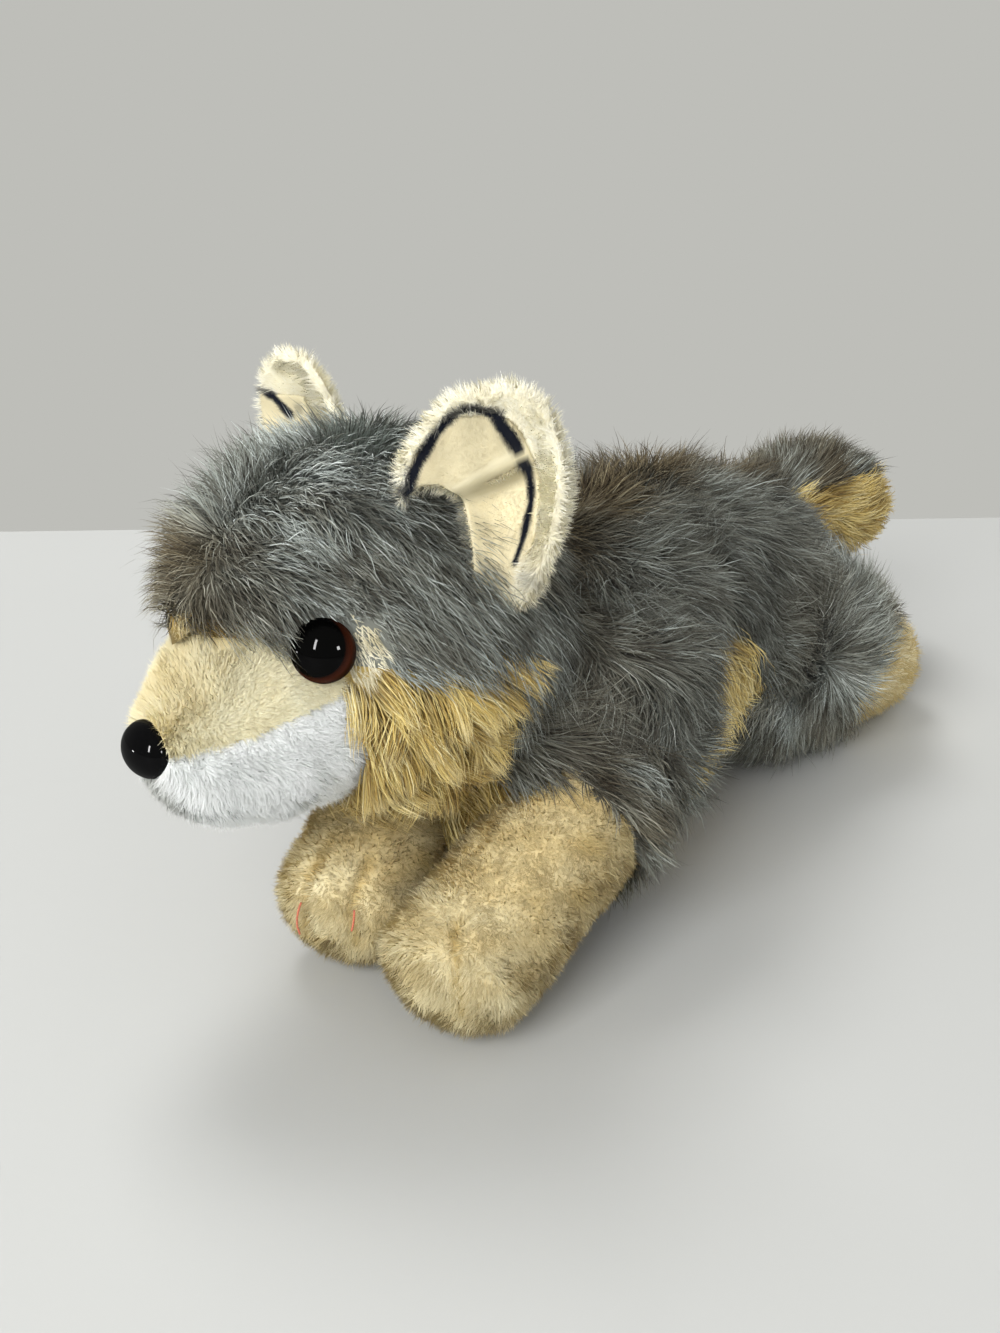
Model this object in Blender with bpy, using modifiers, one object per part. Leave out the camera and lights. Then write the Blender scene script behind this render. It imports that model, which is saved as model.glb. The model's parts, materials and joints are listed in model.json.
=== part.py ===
"""Plush wolf lying on its belly, built as its sewn fur panels over their stuffing.

The wolf faces -Y with its left side at +X and rests on the plane z = 0.  Every soft part is a
form drawn through stations.  A panel is the outer form less the same form drawn smaller by the
cloth, cut to the panel's own region, and the stuffing is the form drawn smaller again.
"""

import math
from typing import NamedTuple

import bmesh
import bpy
from mathutils import Matrix, Vector

MM = 0.001

# Cloth, seams and clearances
CLOTH = 2.6 * MM
LINING = 1.0 * MM
EAR_CLOTH = 2.8 * MM
FIT = 0.3 * MM
SEAM = 0.3 * MM
LARGE = 400.0 * MM

# Head placing: centre, turn to the wolf's right and tilt to the same side
HEAD_LEFT_BY = -20.0 * MM
HEAD_FORWARD_BY = 90.0 * MM
HEAD_HEIGHT = 97.0 * MM
HEAD_AT = Vector((HEAD_LEFT_BY, -HEAD_FORWARD_BY, HEAD_HEIGHT))
HEAD_TURN = math.radians(-22.0)
HEAD_TILT = math.radians(-10.0)

# Eyes and nose, moulded plastic with a shank held by a washer
EYE_RADIUS = 7.5 * MM
EYE_DOME = 5.2 * MM
EYE_FLANGE = 0.8 * MM
EYE_AT = Vector((27.0, -24.5, 0.5)) * MM
EYE_OUT = math.radians(50.0)
EYE_LIFT = math.radians(8.0)
NOSE_AT = Vector((0.0, -57.0, -19.0)) * MM
NOSE_HALF_WIDTH = 8.5 * MM
NOSE_HALF_HEIGHT = 6.8 * MM
NOSE_DOME = 6.0 * MM
NOSE_FLANGE = 2.4 * MM
SHANK_RADIUS = 1.75 * MM
SHANK_LENGTH = 13.0 * MM
WASHER_RADIUS = 7.0 * MM
WASHER_THICK = 1.4 * MM
WASHER_DEPTH = 8.0 * MM

# Seam places
CHEEK_TOP = -9.0 * MM
CHEEK_NAPE = 34.0 * MM
JAW_SEAM_FRONT = Vector((-60.0, -20.5)) * MM
JAW_SEAM_BACK = Vector((-20.0, -9.5)) * MM
BELLY_TOP = 24.0 * MM
CHEST_TOP = 64.0 * MM
CHEST_FRONT = 62.0 * MM
CHEST_BACK = 44.0 * MM
TAIL_ROLL = math.radians(-24.0)
FLANK_TOP = 61.0 * MM
FLANK_FROM = 0.0 * MM
RUMP_FROM = 84.0 * MM
FOOT_OUT = 41.0 * MM
FOOT_BACK = 93.0 * MM
FOOT_SLANT = math.radians(60.0)
RIGHT_FORELEG_BACK = 8.0

HEAD_SIDES = 16
BODY_SIDES = 14
MUZZLE_SIDES = 12
LEG_SIDES = 12
SMALL_SIDES = 10
EAR_COLUMNS = 6


class Station(NamedTuple):
    """One ring of a form: its centre and its two half widths, in millimetres."""

    x: float
    y: float
    z: float
    across: float
    up: float


def rings_between(sections: list[tuple[float, float, float, float]]) -> list[Station]:
    """Turns sections given as y, half width, top and bottom into stations."""
    return [Station(0.0, y, (top + low) / 2, half, (top - low) / 2) for y, half, top, low in sections]


HEAD_FORM = rings_between([
    (50.0, 2.0, -2.0, -6.0),
    (46.0, 19.0, 16.0, -24.0),
    (37.0, 32.0, 31.0, -36.0),
    (20.0, 42.0, 41.0, -44.0),
    (2.0, 44.5, 44.5, -48.0),
    (-12.0, 40.0, 43.0, -46.0),
    (-22.0, 31.0, 40.0, -40.0),
    (-32.0, 25.0, 33.5, -30.0),
    (-41.0, 19.0, 26.0, -18.0),
    (-47.0, 12.0, 19.0, -4.0),
    (-50.0, 2.0, 10.0, 6.0),
])
MUZZLE_FORM = rings_between([
    (-4.0, 4.0, -10.0, -20.0),
    (-11.0, 24.0, 7.0, -38.0),
    (-20.0, 29.0, 11.0, -43.0),
    (-30.0, 27.5, 10.5, -43.5),
    (-39.0, 24.0, 7.5, -43.0),
    (-48.0, 19.5, 1.0, -40.0),
    (-54.0, 15.0, -6.5, -35.5),
    (-58.5, 9.5, -13.0, -29.5),
    (-61.0, 2.0, -20.5, -22.5),
])
BODY_FORM = [
    Station(-2.0, -84.0, 58.0, 3.0, 3.0),
    Station(-2.0, -80.0, 57.0, 18.0, 20.0),
    Station(-2.0, -70.0, 55.0, 31.0, 38.0),
    Station(-1.0, -54.0, 53.0, 40.0, 50.0),
    Station(0.0, -30.0, 56.5, 44.5, 51.5),
    Station(0.0, 0.0, 52.5, 42.0, 55.0),
    Station(0.0, 28.0, 56.5, 39.5, 46.5),
    Station(0.0, 56.0, 47.0, 42.0, 48.5),
    Station(0.0, 80.0, 43.5, 42.0, 44.5),
    Station(0.0, 98.0, 40.5, 37.0, 39.5),
    Station(0.0, 110.0, 39.0, 28.0, 30.0),
    Station(0.0, 117.0, 39.0, 15.0, 17.0),
    Station(0.0, 120.0, 40.0, 2.0, 2.0),
]
FORELEG_FORM = [
    Station(29.0, -34.0, 50.0, 3.0, 3.0),
    Station(29.0, -38.0, 49.0, 13.0, 13.0),
    Station(28.0, -50.0, 45.0, 18.5, 18.5),
    Station(26.0, -67.0, 37.5, 19.5, 19.5),
    Station(23.5, -83.0, 30.0, 19.5, 19.5),
    Station(21.0, -97.0, 23.0, 20.0, 20.0),
    Station(19.0, -109.0, 18.5, 20.0, 19.5),
    Station(17.5, -117.5, 17.0, 14.5, 15.0),
    Station(17.0, -122.5, 16.5, 2.0, 2.0),
]
HINDLEG_FORM = [
    Station(14.0, 34.0, 38.0, 3.0, 3.0),
    Station(15.0, 38.0, 38.0, 12.0, 16.0),
    Station(19.0, 50.0, 38.0, 20.0, 28.0),
    Station(25.0, 66.0, 36.5, 24.0, 34.0),
    Station(32.0, 82.0, 33.0, 24.5, 33.5),
    Station(38.5, 96.0, 28.0, 21.5, 28.0),
    Station(45.5, 115.0, 18.5, 16.0, 19.0),
    Station(48.0, 123.0, 17.0, 14.5, 17.0),
    Station(49.5, 129.0, 16.5, 9.0, 10.5),
    Station(50.5, 132.0, 16.5, 2.0, 2.0),
]
TAIL_FORM = [
    Station(0.0, 92.0, 60.0, 3.0, 3.0),
    Station(0.0, 96.0, 61.0, 11.0, 10.0),
    Station(1.0, 109.0, 63.0, 16.0, 15.0),
    Station(4.0, 125.0, 63.5, 20.0, 18.0),
    Station(8.0, 142.0, 62.0, 21.5, 20.0),
    Station(12.0, 158.0, 59.0, 20.5, 20.0),
    Station(16.0, 172.0, 55.0, 15.0, 15.5),
    Station(18.5, 180.0, 52.0, 8.0, 8.0),
    Station(19.5, 183.0, 51.0, 2.0, 2.0),
]

# Each ear as rows from its inner edge to its outer edge, in the head's own frame, with how far
# each row is cupped backwards.  The left ear's rows fan round the pleat where its tip has flopped
# forwards.  The right ear stands up and faces more to the front.
LEFT_EAR = [
    ((40.0, 6.0, 3.0), (48.0, 12.5, 1.0), 1.0),
    ((40.7, 6.9, 14.6), (52.4, 17.1, 12.7), 4.0),
    ((39.6, 7.1, 20.5), (54.8, 21.4, 23.2), 7.0),
    ((38.2, 7.1, 26.5), (55.1, 23.8, 33.6), 8.0),
    ((37.2, 5.0, 30.5), (54.0, 24.2, 42.5), 5.0),
    ((36.6, 2.0, 32.0), (48.0, 20.5, 52.0), 4.0),
    ((36.2, -1.2, 32.0), (39.8, 11.0, 52.0), 3.0),
    ((35.9, -4.0, 31.2), (35.0, 2.5, 44.0), 2.0),
    ((35.6, -6.2, 30.5), (33.6, -4.8, 35.5), 0.5),
]
RIGHT_EAR = [
    ((-30.0, 13.0, 2.0), (-41.0, 11.0, 0.0), 1.0),
    ((-27.0, 13.5, 15.0), (-47.0, 10.0, 13.0), 4.0),
    ((-25.0, 14.5, 26.0), (-55.0, 9.5, 23.0), 7.0),
    ((-25.0, 15.0, 35.0), (-60.5, 10.0, 33.0), 8.0),
    ((-28.5, 15.2, 42.0), (-63.0, 10.5, 42.0), 7.0),
    ((-33.0, 15.3, 48.5), (-62.0, 11.3, 50.0), 5.0),
    ((-39.0, 15.2, 54.0), (-57.0, 13.0, 55.2), 3.0),
    ((-44.0, 14.8, 56.5), (-50.0, 14.2, 57.0), 1.0),
]
LEFT_EAR_FACING = Vector((0.66, -0.74, 0.15)).normalized()
RIGHT_EAR_FACING = Vector((0.14, -0.98, 0.12)).normalized()
LINING_INSET = 0.16


def clear_scene() -> None:
    """Removes whatever the session started with."""
    for stale in list(bpy.data.objects):
        bpy.data.objects.remove(stale, do_unlink=True)


def new_collection(name: str) -> bpy.types.Collection:
    """Adds a collection to the scene."""
    made = bpy.data.collections.new(name)
    bpy.context.scene.collection.children.link(made)
    return made


def add_object(name: str, mesh: bmesh.types.BMesh, home: bpy.types.Collection) -> bpy.types.Object:
    """Writes a bmesh to a new object in the collection."""
    bmesh.ops.recalc_face_normals(mesh, faces=mesh.faces)
    data = bpy.data.meshes.new(name)
    mesh.to_mesh(data)
    mesh.free()
    made = bpy.data.objects.new(name, data)
    home.objects.link(made)
    return made


def head_matrix() -> Matrix:
    """Places the head's own frame on the body."""
    turn = Matrix.Rotation(HEAD_TURN, 4, "Z") @ Matrix.Rotation(HEAD_TILT, 4, "Y")
    return Matrix.Translation(HEAD_AT) @ turn


def mirrored(stations: list[Station], back: float = 0.0) -> list[Station]:
    """The same form on the wolf's right side, drawn back by some millimetres."""
    return [station._replace(x=-station.x, y=station.y + back) for station in stations]


def ring_frame(stations: list[Station], index: int, upright: bool) -> tuple[Vector, Vector]:
    """The across and up directions of one ring."""
    if upright:
        return Vector((1.0, 0.0, 0.0)), Vector((0.0, 0.0, 1.0))
    before = stations[max(index - 1, 0)]
    after = stations[min(index + 1, len(stations) - 1)]
    along = Vector((after.x - before.x, after.y - before.y, after.z - before.z)).normalized()
    across = along.cross(Vector((0.0, 0.0, 1.0))).normalized()
    return across, across.cross(along)


def drawn_form(stations: list[Station], grow: float, sides: int, upright: bool) -> bmesh.types.BMesh:
    """Draws a closed form through its stations, larger all round by grow."""
    first = Vector(stations[0][:3]) * MM
    last = Vector(stations[-1][:3]) * MM
    middle = (first + last) / 2
    stretch = 1.0 + 2.0 * grow / (last - first).length
    mesh = bmesh.new()
    rings = []
    for index, station in enumerate(stations):
        centre = middle + (Vector(station[:3]) * MM - middle) * stretch
        across, up = ring_frame(stations, index, upright)
        pointed = index in (0, len(stations) - 1)
        wide = station.across * MM if pointed else station.across * MM + grow
        high = station.up * MM if pointed else station.up * MM + grow
        ring = []
        for side in range(sides):
            angle = 2.0 * math.pi * side / sides
            place = centre + across * math.cos(angle) * wide + up * math.sin(angle) * high
            ring.append(mesh.verts.new(place))
        rings.append(ring)
    for ring, following in zip(rings, rings[1:]):
        for side in range(sides):
            beside = (side + 1) % sides
            mesh.faces.new((ring[side], ring[beside], following[beside]))
            mesh.faces.new((ring[side], following[beside], following[side]))
    mesh.faces.new(rings[0])
    mesh.faces.new(rings[-1])
    return mesh


def cut_flat(mesh: bmesh.types.BMesh, height: float) -> None:
    """Cuts the form flat underneath, where it rests."""
    everything = list(mesh.verts) + list(mesh.edges) + list(mesh.faces)
    found = bmesh.ops.bisect_plane(
        mesh,
        geom=everything,
        plane_co=(0.0, 0.0, height),
        plane_no=(0.0, 0.0, 1.0),
        clear_inner=True,
        clear_outer=False,
    )
    rim = [item for item in found["geom_cut"] if isinstance(item, bmesh.types.BMEdge)]
    if rim:
        bmesh.ops.holes_fill(mesh, edges=rim, sides=0)


class Form(NamedTuple):
    """A form with how it is drawn and the frame that it lies in."""

    stations: list[Station]
    sides: int
    upright: bool
    rests: bool
    frame: Matrix


def form_object(name: str, form: Form, grow: float, home: bpy.types.Collection) -> bpy.types.Object:
    """Adds a form, larger all round by grow, to a collection."""
    mesh = drawn_form(form.stations, grow, form.sides, form.upright)
    bmesh.ops.transform(mesh, matrix=form.frame, verts=mesh.verts)
    if form.rests:
        cut_flat(mesh, -grow)
    return add_object(name, mesh, home)


def as_cutter(item: bpy.types.Object) -> bpy.types.Object:
    """Shows an object as a wire cutter that does not render."""
    item.hide_render = True
    item.display_type = "WIRE"
    return item


def combine(target: bpy.types.Object, other: bpy.types.Object, operation: str) -> None:
    """Adds one Boolean step to an object."""
    step = target.modifiers.new(f"{operation.lower()}_{other.name}"[:60], "BOOLEAN")
    step.operation = operation
    step.solver = "EXACT"
    step.object = other


def box_mesh(low: Vector, high: Vector) -> bmesh.types.BMesh:
    """A box between two corners."""
    mesh = bmesh.new()
    bmesh.ops.create_cube(mesh, size=1.0)
    size = high - low
    bmesh.ops.scale(mesh, vec=size, verts=mesh.verts)
    bmesh.ops.translate(mesh, vec=(low + high) / 2, verts=mesh.verts)
    return mesh


def side_block(name: str, sign: float, frame: Matrix, home: bpy.types.Collection) -> bpy.types.Object:
    """A block that takes away one side of the seam plane x = 0 of a frame."""
    near = -SEAM / 2
    mesh = box_mesh(Vector((near, -LARGE, -LARGE)), Vector((LARGE, LARGE, LARGE)))
    if sign < 0:
        bmesh.ops.scale(mesh, vec=(-1.0, 1.0, 1.0), verts=mesh.verts)
    bmesh.ops.transform(mesh, matrix=frame, verts=mesh.verts)
    return as_cutter(add_object(name, mesh, home))


def lower_block(
    name: str, edge: list[tuple[float, float]], shift: float, frame: Matrix, home: bpy.types.Collection
) -> bpy.types.Object:
    """A block under a seam line given as y and z, with the line raised by shift."""
    mesh = bmesh.new()
    outline = [(y, z + shift) for y, z in edge]
    outline.append((edge[-1][0], -LARGE))
    outline.append((edge[0][0], -LARGE))
    face = mesh.faces.new([mesh.verts.new((-LARGE, y, z)) for y, z in outline])
    grown = bmesh.ops.extrude_face_region(mesh, geom=[face])
    moved = [item for item in grown["geom"] if isinstance(item, bmesh.types.BMVert)]
    bmesh.ops.translate(mesh, vec=(2.0 * LARGE, 0.0, 0.0), verts=moved)
    bmesh.ops.transform(mesh, matrix=frame, verts=mesh.verts)
    return as_cutter(add_object(name, mesh, home))


def lathed(name: str, profile: list[tuple[float, float]], frame: Matrix, home: bpy.types.Collection):
    """Turns a profile of radius and height round the frame's Z axis."""
    mesh = bmesh.new()
    verts = [mesh.verts.new((radius, 0.0, height)) for radius, height in profile]
    pairs = list(zip(verts, verts[1:]))
    if profile[0][0] > 0.0:
        pairs.append((verts[-1], verts[0]))
    edges = [mesh.edges.new(pair) for pair in pairs]
    bmesh.ops.spin(
        mesh,
        geom=verts + edges,
        axis=(0.0, 0.0, 1.0),
        cent=(0.0, 0.0, 0.0),
        angle=2.0 * math.pi,
        steps=SMALL_SIDES,
        use_merge=True,
    )
    bmesh.ops.remove_doubles(mesh, verts=mesh.verts, dist=0.00001)
    bmesh.ops.transform(mesh, matrix=frame, verts=mesh.verts)
    return add_object(name, mesh, home)


def dome_profile(radius: float, height: float, steps: int = 3) -> list[tuple[float, float]]:
    """A dome from its crown down to its rim."""
    angles = [math.pi / 2 * step / steps for step in range(steps + 1)]
    return [(radius * math.sin(angle), height * math.cos(angle)) for angle in angles]


def finish(name: str, colour: tuple[float, float, float], rough: float, coat: float = 0.0):
    """A plain material with its own colour."""
    made = bpy.data.materials.new(name)
    made.use_nodes = True
    shader = made.node_tree.nodes["Principled BSDF"]
    shader.inputs["Base Color"].default_value = (*colour, 1.0)
    shader.inputs["Roughness"].default_value = rough
    shader.inputs["Coat Weight"].default_value = coat
    return made


def wear(item: bpy.types.Object, colour: tuple[float, float, float], rough: float, coat: float = 0.0):
    """Gives an object its own material."""
    item.data.materials.append(finish(f"{item.name}_finish", colour, rough, coat))
    return item


GREY = (0.16, 0.17, 0.17)
TAN = (0.55, 0.38, 0.17)
BEIGE = (0.66, 0.52, 0.31)
WHITE = (0.78, 0.79, 0.78)
CREAM = (0.78, 0.71, 0.55)
FILL = (0.82, 0.82, 0.80)
BLACK = (0.008, 0.008, 0.009)
BROWN_BLACK = (0.02, 0.010, 0.006)
WASHER_WHITE = (0.70, 0.70, 0.68)

PLAIN = Matrix.Identity(4)


class Sewn:
    """Builds the wolf's pieces and keeps the cutters that they share."""

    def __init__(self) -> None:
        """Draws the forms and the cutters."""
        self.parts = new_collection("plush_wolf")
        self.cutters = new_collection("cutters")
        head = head_matrix()
        self.head = Form(HEAD_FORM, HEAD_SIDES, True, False, head)
        self.muzzle = Form(MUZZLE_FORM, MUZZLE_SIDES, True, False, head)
        self.body = Form(BODY_FORM, BODY_SIDES, True, True, PLAIN)
        self.tail = Form(TAIL_FORM, LEG_SIDES, False, False, PLAIN)
        self.head_clear = self.cutter("head_clear", self.head, FIT)
        self.muzzle_clear = self.cutter("muzzle_clear", self.muzzle, FIT)
        self.body_clear = self.cutter("body_clear", self.body, FIT)

    def cutter(self, name: str, form: Form, grow: float) -> bpy.types.Object:
        """Adds a form to the cutters."""
        return as_cutter(form_object(name, form, grow, self.cutters))

    def panel(self, name: str, form: Form, hollow: bpy.types.Object) -> bpy.types.Object:
        """A form less its inside, still to be cut to the panel's region."""
        made = form_object(name, form, 0.0, self.parts)
        combine(made, hollow, "DIFFERENCE")
        return made

    def stuffing(self, name: str, form: Form) -> bpy.types.Object:
        """The stuffing that fills a form inside its cloth."""
        return wear(form_object(name, form, -(CLOTH + FIT), self.parts), FILL, 0.9)

    def eye_frame(self, sign: float) -> Matrix:
        """The frame of one eye, with Z pointing out of the head."""
        outward = Vector((
            sign * math.sin(EYE_OUT) * math.cos(EYE_LIFT),
            -math.cos(EYE_OUT) * math.cos(EYE_LIFT),
            math.sin(EYE_LIFT),
        ))
        turn = outward.to_track_quat("Z", "Y").to_matrix().to_4x4()
        at = Vector((sign * EYE_AT.x, EYE_AT.y, EYE_AT.z))
        return head_matrix() @ Matrix.Translation(at) @ turn

    def nose_frame(self) -> Matrix:
        """The frame of the nose, with Z pointing forwards and Y up."""
        forward = Vector((0.0, -1.0, 0.0))
        turn = forward.to_track_quat("Z", "Y").to_matrix().to_4x4()
        return head_matrix() @ Matrix.Translation(NOSE_AT) @ turn

    def clearances(
        self, name: str, frame: Matrix, squash: float, radius: float, dome: float, flange: float
    ) -> tuple[bpy.types.Object, bpy.types.Object]:
        """Cutters for the cloth and for the stuffing round one shanked piece."""
        hole = SHANK_RADIUS + FIT
        end = -(SHANK_LENGTH + FIT)
        seat = -(flange + FIT)
        above = [(0.0, dome * 2), (radius + FIT, dome * 2), (radius + FIT, seat), (hole, seat)]
        cloth_profile = [*above, (hole, end), (0.0, end)]
        flat = Matrix.Diagonal((1.0, squash, 1.0, 1.0))
        cloth = as_cutter(lathed(f"{name}_seat", cloth_profile, frame @ flat, self.cutters))
        top = -(WASHER_DEPTH - FIT)
        low = -(WASHER_DEPTH + WASHER_THICK + FIT)
        wide = WASHER_RADIUS + FIT
        fill_profile = [*above, (hole, top), (wide, top), (wide, low)]
        fill_profile += [(hole, low), (hole, end), (0.0, end)]
        fill = as_cutter(lathed(f"{name}_pocket", fill_profile, frame, self.cutters))
        return cloth, fill

    def washer(self, name: str, frame: Matrix) -> None:
        """The washer that holds a shank behind the cloth."""
        inner = SHANK_RADIUS + FIT
        top = -WASHER_DEPTH
        low = -(WASHER_DEPTH + WASHER_THICK)
        profile = [(inner, top), (WASHER_RADIUS, top), (WASHER_RADIUS, low), (inner, low)]
        wear(lathed(name, profile, frame, self.parts), WASHER_WHITE, 0.5)

    def face_pieces(self) -> dict[str, tuple]:
        """Eyes, nose and their washers, with the cutters that make room for them."""
        room = {}
        for side, sign in (("left", 1.0), ("right", -1.0)):
            frame = self.eye_frame(sign)
            profile = dome_profile(EYE_RADIUS, EYE_DOME)
            profile += [(EYE_RADIUS, -EYE_FLANGE), (SHANK_RADIUS, -EYE_FLANGE)]
            profile += [(SHANK_RADIUS, -SHANK_LENGTH), (0.0, -SHANK_LENGTH)]
            wear(lathed(f"eye_{side}", profile, frame, self.parts), BROWN_BLACK, 0.05, 1.0)
            self.washer(f"eye_washer_{side}", frame)
            room[side] = self.clearances(f"eye_{side}", frame, 1.0, EYE_RADIUS, EYE_DOME, EYE_FLANGE)
        frame = self.nose_frame()
        squash = NOSE_HALF_HEIGHT / NOSE_HALF_WIDTH
        flat = Matrix.Diagonal((1.0, squash, 1.0, 1.0))
        profile = dome_profile(NOSE_HALF_WIDTH, NOSE_DOME)
        profile += [(NOSE_HALF_WIDTH, -NOSE_FLANGE), (SHANK_RADIUS, -NOSE_FLANGE)]
        profile += [(SHANK_RADIUS, -SHANK_LENGTH), (0.0, -SHANK_LENGTH)]
        wear(lathed("nose", profile, frame @ flat, self.parts), BLACK, 0.08, 1.0)
        self.washer("nose_washer", frame)
        room["nose"] = self.clearances(
            "nose", frame, squash, NOSE_HALF_WIDTH, NOSE_DOME, NOSE_FLANGE
        )
        return room

    def build_head(self) -> None:
        """Crown, cheeks, muzzle, chin and the head's stuffing."""
        frame = head_matrix()
        room = self.face_pieces()
        head_hollow = self.cutter("head_hollow", self.head, -CLOTH)
        muzzle_hollow = self.cutter("muzzle_hollow", self.muzzle, -CLOTH)
        cheek_edge = [(-LARGE, CHEEK_TOP), (CHEEK_NAPE / 2, CHEEK_TOP), (CHEEK_NAPE, -LARGE / 4)]
        cheek_over = lower_block("cheek_over", cheek_edge, SEAM / 2, frame, self.cutters)
        cheek_under = lower_block("cheek_under", cheek_edge, -SEAM / 2, frame, self.cutters)
        left_side = side_block("head_left_side", 1.0, frame, self.cutters)
        right_side = side_block("head_right_side", -1.0, frame, self.cutters)

        crown = wear(self.panel("head_crown_fur", self.head, head_hollow), GREY, 0.9)
        combine(crown, self.muzzle_clear, "DIFFERENCE")
        combine(crown, cheek_over, "DIFFERENCE")
        for side in ("left", "right"):
            combine(crown, room[side][0], "DIFFERENCE")

        for side, other in (("left", right_side), ("right", left_side)):
            cheek = wear(self.panel(f"cheek_fur_{side}", self.head, head_hollow), TAN, 0.9)
            combine(cheek, self.muzzle_clear, "DIFFERENCE")
            combine(cheek, cheek_under, "INTERSECT")
            combine(cheek, other, "DIFFERENCE")

        jaw_edge = [(-LARGE, JAW_SEAM_FRONT.y), tuple(JAW_SEAM_FRONT), tuple(JAW_SEAM_BACK)]
        jaw_edge.append((LARGE, JAW_SEAM_BACK.y))
        jaw_over = lower_block("jaw_over", jaw_edge, SEAM / 2, frame, self.cutters)
        jaw_under = lower_block("jaw_under", jaw_edge, -SEAM / 2, frame, self.cutters)
        for name, colour, block, operation in (
            ("muzzle_top", BEIGE, jaw_over, "DIFFERENCE"),
            ("chin", WHITE, jaw_under, "INTERSECT"),
        ):
            piece = wear(self.panel(name, self.muzzle, muzzle_hollow), colour, 0.9)
            combine(piece, self.head_clear, "DIFFERENCE")
            combine(piece, block, operation)
            combine(piece, room["nose"][0], "DIFFERENCE")
            for side in ("left", "right"):
                combine(piece, room[side][0], "DIFFERENCE")

        inner = self.cutter("muzzle_fill", self.muzzle, -(CLOTH + FIT))
        fill = self.stuffing("head_stuffing", self.head)
        combine(fill, inner, "UNION")
        for key in ("left", "right", "nose"):
            combine(fill, room[key][1], "DIFFERENCE")

    def build_body(self) -> None:
        """Back panels, belly and the body's stuffing."""
        hollow = self.cutter("body_hollow", self.body, -CLOTH)
        edge = [(-LARGE, CHEST_TOP), (-CHEST_FRONT, CHEST_TOP), (-CHEST_BACK, BELLY_TOP)]
        edge += [(FLANK_FROM, FLANK_TOP), (RUMP_FROM, BELLY_TOP), (LARGE, BELLY_TOP)]
        over = lower_block("belly_over", edge, SEAM / 2, PLAIN, self.cutters)
        under = lower_block("belly_under", edge, -SEAM / 2, PLAIN, self.cutters)
        left_side = side_block("body_left_side", 1.0, PLAIN, self.cutters)
        right_side = side_block("body_right_side", -1.0, PLAIN, self.cutters)
        for side, other in (("left", right_side), ("right", left_side)):
            back = wear(self.panel(f"back_fur_{side}", self.body, hollow), GREY, 0.9)
            combine(back, self.head_clear, "DIFFERENCE")
            combine(back, over, "DIFFERENCE")
            combine(back, other, "DIFFERENCE")
        belly = wear(self.panel("belly_chest_fur", self.body, hollow), TAN, 0.9)
        combine(belly, self.head_clear, "DIFFERENCE")
        combine(belly, under, "INTERSECT")
        fill = self.stuffing("body_stuffing", self.body)
        combine(fill, self.head_clear, "DIFFERENCE")

    def build_foreleg(self, side: str) -> None:
        """One foreleg as an outer and an inner panel over its stuffing."""
        stations = FORELEG_FORM if side == "left" else mirrored(FORELEG_FORM, RIGHT_FORELEG_BACK)
        form = Form(stations, LEG_SIDES, False, True, PLAIN)
        hollow = self.cutter(f"foreleg_{side}_hollow", form, -CLOTH)
        start = Vector(stations[1][:3]) * MM
        end = Vector(stations[-2][:3]) * MM
        lean = math.atan2(end.x - start.x, -(end.y - start.y))
        frame = Matrix.Translation((start.x, start.y, 0.0)) @ Matrix.Rotation(lean, 4, "Z")
        outer_sign = 1.0 if side == "left" else -1.0
        for face, sign in (("outer", -outer_sign), ("inner", outer_sign)):
            block = side_block(f"foreleg_{side}_{face}_side", sign, frame, self.cutters)
            panel = wear(self.panel(f"foreleg_{side}_{face}", form, hollow), BEIGE, 0.9)
            combine(panel, self.body_clear, "DIFFERENCE")
            combine(panel, self.head_clear, "DIFFERENCE")
            combine(panel, block, "DIFFERENCE")
        fill = self.stuffing(f"foreleg_{side}_stuffing", form)
        combine(fill, self.body_clear, "DIFFERENCE")
        combine(fill, self.head_clear, "DIFFERENCE")

    def build_hindleg(self, side: str) -> None:
        """One hind leg as a fur sleeve and a plush foot over their stuffing."""
        stations = HINDLEG_FORM if side == "left" else mirrored(HINDLEG_FORM)
        form = Form(stations, LEG_SIDES, False, True, PLAIN)
        hollow = self.cutter(f"hind_{side}_hollow", form, -CLOTH)
        sign = 1.0 if side == "left" else -1.0
        seam = Matrix.Translation((sign * FOOT_OUT, FOOT_BACK, 0.0)) @ Matrix.Rotation(-sign * FOOT_SLANT, 4, "Z")
        sleeve_mesh = box_mesh(Vector((-LARGE, -SEAM / 2, -LARGE)), Vector((LARGE, LARGE, LARGE)))
        bmesh.ops.transform(sleeve_mesh, matrix=seam, verts=sleeve_mesh.verts)
        beyond = as_cutter(add_object(f"hind_{side}_beyond", sleeve_mesh, self.cutters))
        foot_mesh = box_mesh(Vector((-LARGE, -LARGE, -LARGE)), Vector((LARGE, SEAM / 2, LARGE)))
        bmesh.ops.transform(foot_mesh, matrix=seam, verts=foot_mesh.verts)
        before = as_cutter(add_object(f"hind_{side}_before", foot_mesh, self.cutters))
        for name, colour, block in (
            (f"hind_leg_{side}_fur", GREY, beyond),
            (f"hind_foot_{side}", BEIGE, before),
        ):
            panel = wear(self.panel(name, form, hollow), colour, 0.9)
            combine(panel, self.body_clear, "DIFFERENCE")
            combine(panel, block, "DIFFERENCE")
        fill = self.stuffing(f"hind_leg_{side}_stuffing", form)
        combine(fill, self.body_clear, "DIFFERENCE")

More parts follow.
